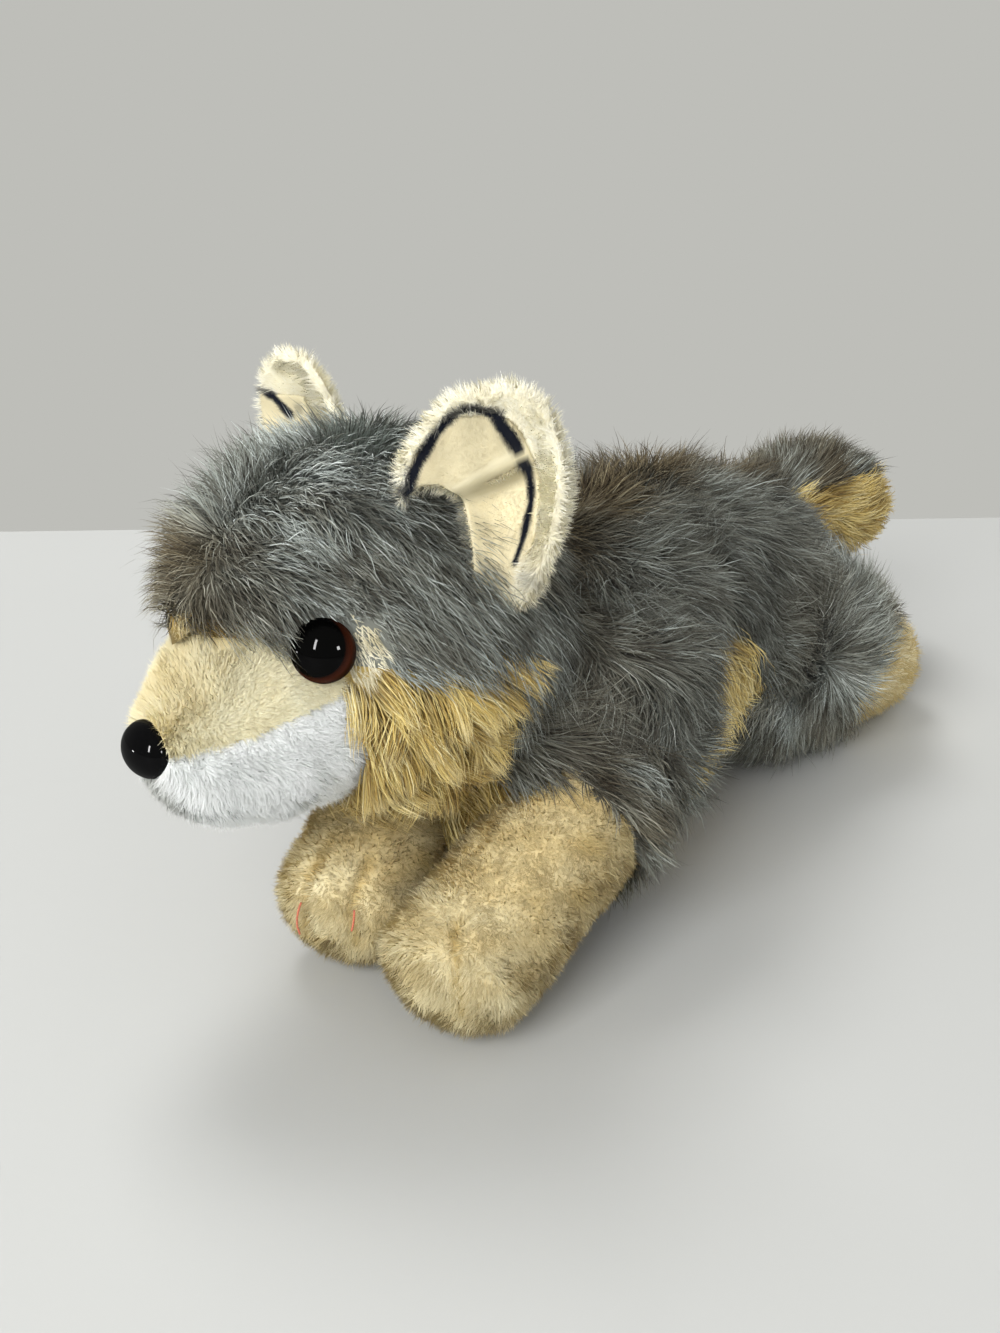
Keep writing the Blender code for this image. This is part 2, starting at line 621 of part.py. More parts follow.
    def build_tail(self) -> None:
        """Tail top and underside over the tail's stuffing."""
        hollow = self.cutter("tail_hollow", self.tail, -CLOTH)
        root = Vector(TAIL_FORM[3][:3]) * MM
        frame = Matrix.Translation(root) @ Matrix.Rotation(TAIL_ROLL, 4, "Y")
        edge = [(-LARGE, 0.0), (LARGE, 0.0)]
        over = lower_block("tail_over", edge, SEAM / 2, frame, self.cutters)
        under = lower_block("tail_under_block", edge, -SEAM / 2, frame, self.cutters)
        top = wear(self.panel("tail_top_fur", self.tail, hollow), GREY, 0.9)
        combine(top, self.body_clear, "DIFFERENCE")
        combine(top, over, "DIFFERENCE")
        low = wear(self.panel("tail_under_fur", self.tail, hollow), TAN, 0.9)
        combine(low, self.body_clear, "DIFFERENCE")
        combine(low, under, "INTERSECT")
        fill = self.stuffing("tail_stuffing", self.tail)
        combine(fill, self.body_clear, "DIFFERENCE")

    def ear_sheet(
        self, name: str, side: str, inset: float, lift: float, home: bpy.types.Collection
    ) -> bpy.types.Object:
        """The open sheet of one ear, inset from its edges and lifted off its back."""
        facing = LEFT_EAR_FACING if side == "left" else RIGHT_EAR_FACING
        rows = LEFT_EAR if side == "left" else RIGHT_EAR
        rows = rows[:-1] if inset > 0.0 else rows
        mesh = bmesh.new()
        grid = []
        for front, rear, cup in rows:
            start = Vector(front) * MM
            end = Vector(rear) * MM
            line = []
            for column in range(EAR_COLUMNS + 1):
                share = inset + (1.0 - 2.0 * inset) * column / EAR_COLUMNS
                depth = cup * MM * 4.0 * share * (1.0 - share)
                line.append(mesh.verts.new(start.lerp(end, share) - facing * (depth - lift)))
            grid.append(line)
        for line, following in zip(grid, grid[1:]):
            for column in range(EAR_COLUMNS):
                corners = (line[column], line[column + 1], following[column + 1], following[column])
                mesh.faces.new(corners if side == "left" else corners[::-1])
        bmesh.ops.transform(mesh, matrix=head_matrix(), verts=mesh.verts)
        data = bpy.data.meshes.new(name)
        mesh.to_mesh(data)
        mesh.free()
        made = bpy.data.objects.new(name, data)
        home.objects.link(made)
        return made

    def thicken(self, sheet: bpy.types.Object, thickness: float) -> None:
        """Gives a sheet its thickness, behind its face."""
        step = sheet.modifiers.new("thickness", "SOLIDIFY")
        step.thickness = thickness
        step.offset = -1.0

    def build_ear(self, side: str) -> None:
        """One ear as a plush back and a short lining."""
        clear = as_cutter(self.ear_sheet(f"ear_{side}_clear", side, 0.0, FIT, self.cutters))
        self.thicken(clear, EAR_CLOTH + FIT + FIT)
        for name, colour, inset, lift, thick in (
            (f"ear_{side}_back", CREAM, 0.0, 0.0, EAR_CLOTH),
            (f"ear_{side}_lining", CREAM, LINING_INSET, LINING + FIT, LINING),
        ):
            sheet = wear(self.ear_sheet(name, side, inset, lift, self.parts), colour, 0.9)
            self.thicken(sheet, thick)
            combine(sheet, self.head_clear, "DIFFERENCE")
            combine(sheet, self.body_clear, "DIFFERENCE")
            if inset > 0.0:
                combine(sheet, clear, "DIFFERENCE")


def main() -> None:
    """Builds the whole wolf."""
    clear_scene()
    sewn = Sewn()
    sewn.build_head()
    sewn.build_body()
    sewn.build_tail()
    for side in ("left", "right"):
        sewn.build_foreleg(side)
        sewn.build_hindleg(side)
        sewn.build_ear(side)


main()
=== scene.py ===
"""Looks of the plush wolf: its stuffed skins, its pile and fur, eyes, nose, ears and stitches.

Lengths are in millimetres until a mesh is written.  Every stuffed piece is a skin of oval sections,
and its pile is cut as fine ribbons that are combed the way the cloth lies.
"""

import json
import logging
import math
from collections.abc import Callable
from dataclasses import dataclass, field
from enum import Enum

import bmesh
import bpy
import numpy as np
from mathutils import Matrix, Vector
from mathutils.kdtree import KDTree

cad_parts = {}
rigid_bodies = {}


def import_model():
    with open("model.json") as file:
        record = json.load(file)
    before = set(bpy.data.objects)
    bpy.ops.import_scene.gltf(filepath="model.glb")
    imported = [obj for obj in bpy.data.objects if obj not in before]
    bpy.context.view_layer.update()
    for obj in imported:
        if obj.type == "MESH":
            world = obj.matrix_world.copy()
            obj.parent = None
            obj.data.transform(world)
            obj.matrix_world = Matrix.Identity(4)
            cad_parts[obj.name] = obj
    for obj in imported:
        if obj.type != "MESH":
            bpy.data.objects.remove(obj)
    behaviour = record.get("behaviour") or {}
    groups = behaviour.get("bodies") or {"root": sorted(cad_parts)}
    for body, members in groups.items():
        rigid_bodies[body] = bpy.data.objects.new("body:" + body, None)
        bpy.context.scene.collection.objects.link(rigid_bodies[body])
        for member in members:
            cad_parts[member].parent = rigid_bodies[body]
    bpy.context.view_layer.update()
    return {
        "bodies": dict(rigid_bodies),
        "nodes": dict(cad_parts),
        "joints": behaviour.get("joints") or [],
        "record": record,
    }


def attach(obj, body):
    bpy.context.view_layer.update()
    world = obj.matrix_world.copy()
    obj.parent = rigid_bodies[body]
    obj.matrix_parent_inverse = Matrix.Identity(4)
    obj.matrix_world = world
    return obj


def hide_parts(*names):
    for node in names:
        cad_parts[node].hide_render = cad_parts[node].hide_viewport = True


LOG = logging.getLogger("plush_wolf")
MM = 0.001
PHOTO_HEIGHT = 1333

Array = np.ndarray
Colour = tuple[float, float, float]
Field = Callable[[Array], Array]
Input = bpy.types.NodeSocket | tuple[float, ...] | float

# What a cloth carries before its pile is grown: place along a strand, tone, shade and ink
SKIN_CHANNELS = (0.25, 0.45, 0.0, 0.0)
SHEET_CHANNELS = (0.5, 0.5, 0.0, 0.0)

HEAD_AT = (-20.0, -90.0, 97.0)
HEAD_TURN = -22.0
HEAD_TILT = -10.0


class Side(Enum):
    """The wolf's own left and right."""

    LEFT = 1.0
    RIGHT = -1.0

    @property
    def word(self) -> str:
        """The side as it stands in a piece's name."""
        return self.name.lower()


def paint(red: float, green: float, blue: float) -> Colour:
    """Turns a display colour of 0 to 255 into the linear colour that a shader takes."""
    shares = [channel / 255.0 for channel in (red, green, blue)]
    return tuple(s / 12.92 if s <= 0.04045 else ((s + 0.055) / 1.055) ** 2.4 for s in shares)


def grey(share: float) -> Colour:
    """A linear grey for a ramp that carries a share."""
    return (share, share, share)


def unit(vectors: Array) -> Array:
    """Scales each vector to length one."""
    return vectors / np.maximum(np.linalg.norm(vectors, axis=-1, keepdims=True), 1e-9)


def dot(first: Array, second: Array) -> Array:
    """Dot product of each pair, kept as a column."""
    return np.sum(first * second, axis=-1, keepdims=True)


def along_surface(vectors: Array, normals: Array) -> Array:
    """Lays each vector flat on the surface that its normal stands on."""
    return unit(vectors - dot(vectors, normals) * normals)


def step_up(values: Array, low: float, high: float) -> Array:
    """Rises smoothly from 0 at low to 1 at high."""
    share = np.clip((values - low) / (high - low), 0.0, 1.0)
    return share * share * (3.0 - 2.0 * share)


def step_down(values: Array, low: float, high: float) -> Array:
    """Falls smoothly from 1 at low to 0 at high."""
    return 1.0 - step_up(values, low, high)


def bell(values: Array, width: float) -> Array:
    """Is 1 where the values are 0 and falls off to both sides over a width."""
    return np.exp(-((values / width) ** 2))


def drift(points: Array, span: float, seed: int) -> Array:
    """Smooth noise of about unit size.

    Args:
        points: Places in millimetres.
        span: Distance over which the noise changes.
        seed: Chooses the pattern.

    Returns:
        One value for each place.
    """
    chance = np.random.default_rng(seed)
    total = np.zeros(len(points))
    for _ in range(7):
        wave = chance.standard_normal(3)
        wave *= 2.0 * math.pi / (span * chance.uniform(0.7, 1.6) * np.linalg.norm(wave))
        total += np.sin(points @ wave + chance.uniform(0.0, 2.0 * math.pi))
    return total / 1.9


def mottled(middle: float, by: float, span: float, seed: int) -> Field:
    """A share that drifts round its middle and stays from 0 to 1."""
    return lambda points: np.clip(middle + by * drift(points, span, seed), 0.0, 1.0)


def head_frame() -> Array:
    """The head's own frame as a matrix in millimetres."""
    turn = Matrix.Rotation(math.radians(HEAD_TURN), 4, "Z")
    tilt = Matrix.Rotation(math.radians(HEAD_TILT), 4, "Y")
    return np.array(Matrix.Translation(HEAD_AT) @ turn @ tilt)


def moved(points: Array, frame: Array) -> Array:
    """Takes places from a frame to the row's own frame."""
    return points @ frame[:3, :3].T + frame[:3, 3]


def into(points: Array, frame: Array) -> Array:
    """Takes places from the row's own frame into a frame."""
    return (points - frame[:3, 3]) @ frame[:3, :3]


@dataclass(frozen=True)
class Section:
    """One oval section: its centre and its two half widths."""

    x: float
    y: float
    z: float
    across: float
    up: float


def upright(rows: list[tuple[float, float, float, float]]) -> list[Section]:
    """Sections given as y, half width, top and bottom."""
    return [Section(0.0, y, (top + low) / 2, half, (top - low) / 2) for y, half, top, low in rows]


def mirrored(sections: list[Section], back: float = 0.0) -> list[Section]:
    """The same sections on the wolf's right side."""
    return [Section(-s.x, s.y + back, s.z, s.across, s.up) for s in sections]


HEAD_SECTIONS = upright([
    (50.0, 2.0, -2.0, -6.0),
    (46.0, 19.0, 16.0, -24.0),
    (37.0, 32.0, 31.0, -36.0),
    (20.0, 42.0, 41.0, -44.0),
    (2.0, 44.5, 44.5, -48.0),
    (-12.0, 40.0, 43.0, -46.0),
    (-22.0, 31.0, 40.0, -40.0),
    (-32.0, 25.0, 33.5, -30.0),
    (-41.0, 19.0, 26.0, -18.0),
    (-47.0, 12.0, 19.0, -4.0),
    (-50.0, 2.0, 10.0, 6.0),
])
MUZZLE_SECTIONS = upright([
    (-4.0, 4.0, -10.0, -20.0),
    (-11.0, 24.0, 7.0, -38.0),
    (-20.0, 29.0, 11.0, -43.0),
    (-30.0, 27.5, 10.5, -43.5),
    (-39.0, 24.0, 7.5, -43.0),
    (-48.0, 19.5, 1.0, -40.0),
    (-54.0, 15.0, -6.5, -35.5),
    (-58.5, 9.5, -13.0, -29.5),
    (-61.0, 2.0, -20.5, -22.5),
])
BODY_SECTIONS = [
    Section(-2.0, -84.0, 58.0, 3.0, 3.0),
    Section(-2.0, -80.0, 57.0, 18.0, 20.0),
    Section(-2.0, -70.0, 55.0, 31.0, 38.0),
    Section(-1.0, -54.0, 53.0, 40.0, 50.0),
    Section(0.0, -30.0, 56.5, 44.5, 51.5),
    Section(0.0, 0.0, 52.5, 42.0, 55.0),
    Section(0.0, 28.0, 56.5, 39.5, 46.5),
    Section(0.0, 56.0, 47.0, 42.0, 48.5),
    Section(0.0, 80.0, 43.5, 42.0, 44.5),
    Section(0.0, 98.0, 40.5, 37.0, 39.5),
    Section(0.0, 110.0, 39.0, 28.0, 30.0),
    Section(0.0, 117.0, 39.0, 15.0, 17.0),
    Section(0.0, 120.0, 40.0, 2.0, 2.0),
]
FORELEG_SECTIONS = [
    Section(29.0, -34.0, 50.0, 3.0, 3.0),
    Section(29.0, -38.0, 49.0, 13.0, 13.0),
    Section(28.0, -50.0, 45.0, 18.5, 18.5),
    Section(26.0, -67.0, 37.5, 19.5, 19.5),
    Section(23.5, -83.0, 30.0, 19.5, 19.5),
    Section(21.0, -97.0, 23.0, 20.0, 20.0),
    Section(19.0, -109.0, 18.5, 20.0, 19.5),
    Section(17.5, -117.5, 17.0, 14.5, 15.0),
    Section(17.0, -122.5, 16.5, 2.0, 2.0),
]
HINDLEG_SECTIONS = [
    Section(14.0, 34.0, 38.0, 3.0, 3.0),
    Section(15.0, 38.0, 38.0, 12.0, 16.0),
    Section(19.0, 50.0, 38.0, 20.0, 28.0),
    Section(25.0, 66.0, 36.5, 24.0, 34.0),
    Section(32.0, 82.0, 33.0, 24.5, 33.5),
    Section(38.5, 96.0, 28.0, 21.5, 28.0),
    Section(45.5, 115.0, 18.5, 16.0, 19.0),
    Section(48.0, 123.0, 17.0, 14.5, 17.0),
    Section(49.5, 129.0, 16.5, 9.0, 10.5),
    Section(50.5, 132.0, 16.5, 2.0, 2.0),
]
TAIL_SECTIONS = [
    Section(0.0, 92.0, 60.0, 3.0, 3.0),
    Section(0.0, 96.0, 61.0, 11.0, 10.0),
    Section(1.0, 109.0, 63.0, 16.0, 15.0),
    Section(4.0, 125.0, 63.5, 20.0, 18.0),
    Section(8.0, 142.0, 62.0, 21.5, 20.0),
    Section(12.0, 158.0, 59.0, 20.5, 20.0),
    Section(16.0, 172.0, 55.0, 15.0, 15.5),
    Section(18.5, 180.0, 52.0, 8.0, 8.0),
    Section(19.5, 183.0, 51.0, 2.0, 2.0),
]

EarRow = tuple[tuple[float, float, float], tuple[float, float, float], float]
LEFT_EAR_ROWS: list[EarRow] = [
    ((40.0, 6.0, 3.0), (48.0, 12.5, 1.0), 1.0),
    ((40.7, 6.9, 14.6), (52.4, 17.1, 12.7), 4.0),
    ((39.6, 7.1, 20.5), (54.8, 21.4, 23.2), 7.0),
    ((38.2, 7.1, 26.5), (55.1, 23.8, 33.6), 8.0),
    ((37.2, 5.0, 30.5), (54.0, 24.2, 42.5), 5.0),
    ((36.6, 2.0, 32.0), (48.0, 20.5, 52.0), 4.0),
    ((36.2, -1.2, 32.0), (39.8, 11.0, 52.0), 3.0),
    ((35.9, -4.0, 31.2), (35.0, 2.5, 44.0), 2.0),
    ((35.6, -6.2, 30.5), (33.6, -4.8, 35.5), 0.5),
]
RIGHT_EAR_ROWS: list[EarRow] = [
    ((-30.0, 13.0, 2.0), (-41.0, 11.0, 0.0), 1.0),
    ((-27.0, 13.5, 15.0), (-47.0, 10.0, 13.0), 4.0),
    ((-25.0, 14.5, 26.0), (-55.0, 9.5, 23.0), 7.0),
    ((-25.0, 15.0, 35.0), (-60.5, 10.0, 33.0), 8.0),
    ((-28.5, 15.2, 42.0), (-63.0, 10.5, 42.0), 7.0),
    ((-33.0, 15.3, 48.5), (-62.0, 11.3, 50.0), 5.0),
    ((-39.0, 15.2, 54.0), (-57.0, 13.0, 55.2), 3.0),
    ((-44.0, 14.8, 56.5), (-50.0, 14.2, 57.0), 1.0),
]


def eased_slopes(knots: Array, values: Array) -> Array:
    """Slopes for a smooth curve that never swings past its own points.

    Args:
        knots: Rising places along the curve.
        values: One row of values for each place.

    Returns:
        The slope of each value at each place.
    """
    gaps = np.diff(knots)[:, None]
    rises = np.diff(values, axis=0) / gaps
    slopes = np.empty_like(values)
    slopes[0] = rises[0]
    slopes[-1] = rises[-1]
    before, after = rises[:-1], rises[1:]
    together = before * after > 0
    total = np.where(together, before + after, 1.0)
    slopes[1:-1] = np.where(together, 2.0 * before * after / total, 0.0)
    return slopes


@dataclass
class SmoothTable:
    """A smooth curve through rows of values."""

    knots: Array
    values: Array

    def __post_init__(self) -> None:
        """Works out the slopes once."""
        self.slopes = eased_slopes(self.knots, self.values)

    def at(self, places: Array) -> tuple[Array, Array]:
        """Values and slopes along the curve.

        Args:
            places: Where to read the curve.

        Returns:
            The values and how fast each one changes.
        """
        places = np.clip(places, self.knots[0], self.knots[-1])
        index = np.clip(np.searchsorted(self.knots, places) - 1, 0, len(self.knots) - 2)
        gap = (self.knots[index + 1] - self.knots[index])[:, None]
        share = (places[:, None] - self.knots[index][:, None]) / gap
        first, last = self.values[index], self.values[index + 1]
        slope_in, slope_out = self.slopes[index] * gap, self.slopes[index + 1] * gap
        square, cube = share**2, share**3
        value = (2 * cube - 3 * square + 1) * first + (cube - 2 * square + share) * slope_in
        value += (3 * square - 2 * cube) * last + (cube - square) * slope_out
        slope = (6 * square - 6 * share) * (first - last)
        slope += (3 * square - 4 * share + 1) * slope_in + (3 * square - 2 * share) * slope_out
        return value, slope / gap


@dataclass
class Form:
    """A stuffed shape: oval sections along the Y axis of a frame."""

    sections: list[Section]
    frame: Array = field(default_factory=lambda: np.eye(4))
    follows_path: bool = False

    def __post_init__(self) -> None:
        """Sets the frame on the path's chord where the sections follow a path."""
        centres = np.array([[s.x, s.y, s.z] for s in self.sections])
        if self.follows_path:
            axis = unit(centres[-1] - centres[0])
            across = unit(np.cross(axis, (0.0, 0.0, 1.0)))
            self.frame = np.eye(4)
            self.frame[:3, :3] = np.stack([across, axis, np.cross(across, axis)], axis=1)
            self.frame[:3, 3] = centres[0]
            centres = into(centres, self.frame)
        sizes = np.array([[s.across, s.up] for s in self.sections])
        order = np.argsort(centres[:, 1])
        rows = np.column_stack([centres[:, 0], centres[:, 2], sizes])[order]
        self.table = SmoothTable(centres[order, 1], rows)

    @property
    def ends(self) -> tuple[float, float]:
        """Where the form starts and stops along its axis."""
        return float(self.table.knots[0]), float(self.table.knots[-1])

    def local(self, points: Array) -> Array:
        """Places in the form's own frame."""
        return into(points, self.frame)

    def normals(self, points: Array) -> Array:
        """Outward directions at places on or near the form."""
        own = self.local(points)
        value, slope = self.table.at(own[:, 1])
        off = own[:, (0, 2)] - value[:, :2]
        size = np.maximum(value[:, 2:], 1.0)
        pull = off * slope[:, :2] / size**2 + off**2 * slope[:, 2:] / size**3
        pull = np.clip(-pull.sum(axis=1), -2.0, 2.0)
        rise = np.stack([off[:, 0] / size[:, 0] ** 2, pull, off[:, 1] / size[:, 1] ** 2], axis=1)
        return unit(rise @ self.frame[:3, :3].T)

    def clears(self, points: Array, margin: float) -> Array:
        """Tells which places lie outside the form grown by margin."""
        own = self.local(points)
        value, _ = self.table.at(own[:, 1])
        off = own[:, (0, 2)] - value[:, :2]
        size = np.maximum(value[:, 2:] + margin, 0.1)
        start, stop = self.ends
        beyond = (own[:, 1] < start - margin) | (own[:, 1] > stop + margin)
        return beyond | (((off / size) ** 2).sum(axis=1) > 1.0)

    def skin(self, inset: float, around: int, rings: int) -> bmesh.types.BMesh:
        """Draws the form's skin from a sphere.

        Args:
            inset: How far the skin lies under the form.
            around: Columns round the form.
            rings: Rings along the form.

        Returns:
            The skin in millimetres, in the row's frame.
        """
        mesh = bmesh.new()
        bmesh.ops.create_uvsphere(mesh, u_segments=around, v_segments=rings, radius=1.0)
        ball = np.array([vert.co for vert in mesh.verts])
        start, stop = self.ends
        places = start + (stop - start) * (1.0 - ball[:, 2]) / 2.0
        value, _ = self.table.at(places)
        spread = np.linalg.norm(ball[:, :2], axis=1)
        ring = unit(ball[:, :2]) * value[:, 2:] * np.clip(spread / 0.04, 0.0, 1.0)[:, None]
        own = np.stack([value[:, 0] + ring[:, 0], places, value[:, 1] + ring[:, 1]], axis=1)
        whole = moved(own, self.frame)
        whole -= self.normals(whole) * inset
        for vert, place in zip(mesh.verts, whole):
            vert.co = place
        mesh.normal_update()
        centres = np.array([face.calc_center_median() for face in mesh.faces])
        ways = np.array([face.normal for face in mesh.faces])
        if (ways * self.normals(centres)).sum() < 0.0:
            bmesh.ops.reverse_faces(mesh, faces=mesh.faces)
        return mesh


HEAD = head_frame()
FORMS = {
    "head": Form(HEAD_SECTIONS, HEAD),
    "muzzle": Form(MUZZLE_SECTIONS, HEAD),
    "body": Form(BODY_SECTIONS),
    "tail": Form(TAIL_SECTIONS, follows_path=True),
    "foreleg_left": Form(FORELEG_SECTIONS, follows_path=True),
    "foreleg_right": Form(mirrored(FORELEG_SECTIONS, 8.0), follows_path=True),
    "hindleg_left": Form(HINDLEG_SECTIONS, follows_path=True),
    "hindleg_right": Form(mirrored(HINDLEG_SECTIONS), follows_path=True),
}


class Nodes:
    """Adds and joins the nodes of one material."""

    def __init__(self, name: str) -> None:
        """Starts a material with its shader and output."""
        self.material = bpy.data.materials.new(name)
        self.material.use_nodes = True
        self.tree = self.material.node_tree
        self.shader = self.tree.nodes["Principled BSDF"]

    def add(self, kind: str) -> bpy.types.Node:
        """Adds a node."""
        return self.tree.nodes.new(kind)

    def join(self, source: bpy.types.NodeSocket, target: bpy.types.NodeSocket) -> None:
        """Joins two sockets."""
        self.tree.links.new(source, target)

    def ramp(self, factor: bpy.types.NodeSocket, stops: list[tuple[float, Colour]]) -> bpy.types.NodeSocket:
        """A colour ramp.

        Args:
            factor: What the ramp reads.
            stops: Places from 0 to 1 with their colours.

        Returns:
            The ramp's colour socket.
        """
        node = self.add("ShaderNodeValToRGB")
        bar = node.color_ramp
        while len(bar.elements) < len(stops):
            bar.elements.new(0.5)
        for element, (place, colour) in zip(bar.elements, stops):
            element.position = place
            element.color = (*colour, 1.0)
        self.join(factor, node.inputs["Fac"])
        return node.outputs["Color"]

    def mix(self, first: Input, second: Input, factor: Input, mode: str = "MIX") -> bpy.types.NodeSocket:
        """Mixes two colours.

        Args:
            first: A colour socket, or a colour.
            second: A colour socket, or a colour.
            factor: A socket, or a number.
            mode: The way that the two are mixed.

        Returns:
            The mixed colour's socket.
        """
        node = self.add("ShaderNodeMix")
        node.data_type = "RGBA"
        node.blend_type = mode
        node.clamp_factor = True
        for value, index in ((factor, 0), (first, 6), (second, 7)):
            if isinstance(value, bpy.types.NodeSocket):
                self.join(value, node.inputs[index])
            elif isinstance(value, tuple):
                node.inputs[index].default_value = (*value, 1.0)
            else:
                node.inputs[index].default_value = value
        return node.outputs[2]

    def maths(self, operation: str, *values: Input) -> bpy.types.NodeSocket:
        """A sum on sockets or numbers."""
        node = self.add("ShaderNodeMath")
        node.operation = operation
        for socket, value in zip(node.inputs, values):
            if isinstance(value, bpy.types.NodeSocket):
                self.join(value, socket)
            else:
                socket.default_value = value
        return node.outputs["Value"]

    def noise(self, scale: float, detail: float = 3.0) -> bpy.types.NodeSocket:
        """Noise on the piece's own coordinates, with a scale in cells to the metre."""
        place = self.add("ShaderNodeTexCoord")
        node = self.add("ShaderNodeTexNoise")
        node.inputs["Scale"].default_value = scale
        node.inputs["Detail"].default_value = detail
        self.join(place.outputs["Object"], node.inputs["Vector"])
        return node.outputs["Fac"]

    def bump(self, height: bpy.types.NodeSocket, strength: float, distance: float) -> None:
        """Raises the surface by a height."""
        node = self.add("ShaderNodeBump")
        node.inputs["Strength"].default_value = strength
        node.inputs["Distance"].default_value = distance
        self.join(height, node.inputs["Height"])
        self.join(node.outputs["Normal"], self.shader.inputs["Normal"])

    def vector(self, operation: str, source: bpy.types.NodeSocket,
               value: tuple[float, ...]) -> bpy.types.Node:
        """A sum on a vector socket and a vector."""
        node = self.add("ShaderNodeVectorMath")
        node.operation = operation
        node.inputs[1].default_value = value
        self.join(source, node.inputs[0])
        return node

    def wear(self, colour: bpy.types.NodeSocket, **values: float) -> bpy.types.Material:
        """Gives the shader its colour and its other inputs, named with _ for a space."""
        self.join(colour, self.shader.inputs["Base Color"])
        for word, value in values.items():
            self.shader.inputs[word.replace("_", " ")].default_value = value
        return self.material

    def pile_channels(self) -> tuple[bpy.types.NodeSocket, ...]:
        """How far along its strand a place is, the strand's tone, its shade and its ink."""
        read = self.add("ShaderNodeAttribute")
        read.attribute_name = "pile"
        split = self.add("ShaderNodeSeparateColor")
        self.join(read.outputs["Color"], split.inputs["Color"])
        return (*split.outputs[:3], read.outputs["Alpha"])


@dataclass(frozen=True)
class PileFinish:
    """Colours of one pile cloth and how they vary.

    The tones run from the darkest strands to the palest, first for the plain cloth and then for the
    places where its shade is full: a cloth's second colour, and on some pieces painted shade.
    """

    name: str
    slot: str
    tones: tuple[Colour, Colour, Colour, Colour]
    shaded: tuple[Colour, Colour, Colour, Colour]
    root: Colour
    tip: Colour
    root_share: float = 0.7
    tip_share: float = 0.0
    ink: Colour = (0.003, 0.005, 0.012)
    rough: float = 0.62
    sheen: float = 0.1
    specular: float = 0.3
    patch: float = 70.0
    patch_dark: float = 0.86
    places: tuple[float, ...] = (0.0, 0.36, 0.68, 1.0)
    root_end: float = 0.55
    tip_start: float = 0.72

    def build(self) -> bpy.types.Material:
        """Makes the material."""
        nodes = Nodes(self.name)
        along, tone, shade, ink = nodes.pile_channels()
        plain = nodes.ramp(tone, list(zip(self.places, self.tones)))
        shaded = nodes.ramp(tone, list(zip(self.places, self.shaded)))
        colour = nodes.mix(plain, shaded, shade)
        patches = nodes.ramp(nodes.noise(self.patch), [(0.3, grey(self.patch_dark)), (0.7, grey(1.0))])
        colour = nodes.mix(colour, patches, 1.0, "MULTIPLY")
        rooted = nodes.ramp(along, [(0.0, grey(self.root_share)), (self.root_end, grey(0.0))])
        colour = nodes.mix(colour, self.root, rooted)
        if self.tip_share > 0.0:
            tipped = nodes.ramp(along, [(self.tip_start, grey(0.0)), (1.0, grey(self.tip_share))])
            colour = nodes.mix(colour, self.tip, tipped)
        colour = nodes.mix(colour, self.ink, ink)
        return nodes.wear(colour, Roughness=self.rough, Sheen_Weight=self.sheen, Sheen_Roughness=0.5,
                          Specular_IOR_Level=self.specular)


GREY_FUR = PileFinish(
    "grey_fur_pile",
    "grey_fur",
    (paint(64, 62, 54), paint(126, 129, 120), paint(176, 184, 178), paint(222, 230, 226)),
    (paint(54, 44, 29), paint(102, 90, 66), paint(140, 130, 102), paint(184, 176, 150)),
    paint(50, 48, 42),
    paint(60, 52, 42),
    root_share=0.52,
    tip_share=0.35,
    rough=0.7,
    sheen=0.05,
    specular=0.15,
)
TAN_FUR = PileFinish(
    "tan_fur_pile",
    "tan_fur",
    (paint(150, 116, 54), paint(222, 192, 108), paint(244, 224, 150), paint(254, 243, 192)),
    (paint(78, 58, 26), paint(134, 107, 50), paint(184, 155, 84), paint(214, 189, 118)),
    paint(92, 66, 30),
    paint(252, 242, 200),
    tip_share=0.4,
    sheen=0.05,
    specular=0.2,
)
BEIGE_PLUSH = PileFinish(
    "beige_plush_pile",
    "beige_plush",
    (paint(186, 170, 124), paint(242, 232, 192), paint(251, 246, 214), paint(255, 252, 228)),
    (paint(160, 138, 88), paint(218, 194, 128), paint(234, 212, 148), paint(244, 228, 172)),
    paint(216, 190, 128),
    paint(250, 240, 204),
    root_share=0.22,
    patch=160.0,
    patch_dark=0.95,
    rough=0.8,
    specular=0.1,
)
WHITE_PLUSH = PileFinish(
    "white_plush_pile",
    "white_plush",
    (paint(226, 230, 228), paint(242, 245, 243), paint(250, 252, 251), paint(255, 255, 255)),
    (paint(140, 142, 136), paint(172, 174, 168), paint(198, 200, 194), paint(218, 220, 214)),
    paint(212, 216, 212),
    paint(252, 254, 252),
    root_share=0.3,
    patch=160.0,
    patch_dark=0.97,
    rough=0.8,
    specular=0.1,
)
CREAM_PLUSH = PileFinish(
    "cream_plush_pile",
    "cream_plush",
    (paint(236, 231, 202), paint(247, 242, 218), paint(251, 248, 230), paint(255, 254, 242)),
    (paint(176, 166, 132), paint(204, 194, 158), paint(224, 214, 178), paint(238, 230, 198)),
    paint(232, 222, 186),
    paint(254, 253, 246),
    root_share=0.3,
    patch=160.0,
    patch_dark=0.96,
    rough=0.8,
    specular=0.1,
)
CREAM_VELBOA = PileFinish(
    "cream_velboa_pile",
    "cream_velboa",
    (paint(228, 215, 174), paint(238, 227, 190), paint(244, 235, 202), paint(250, 243, 216)),
    (paint(160, 150, 118), paint(178, 168, 136), paint(190, 181, 148), paint(204, 195, 162)),
    paint(222, 208, 166),
    paint(252, 249, 228),
    root_share=0.2,
    patch=200.0,
    patch_dark=0.96,
    rough=0.8,
    specular=0.1,
)


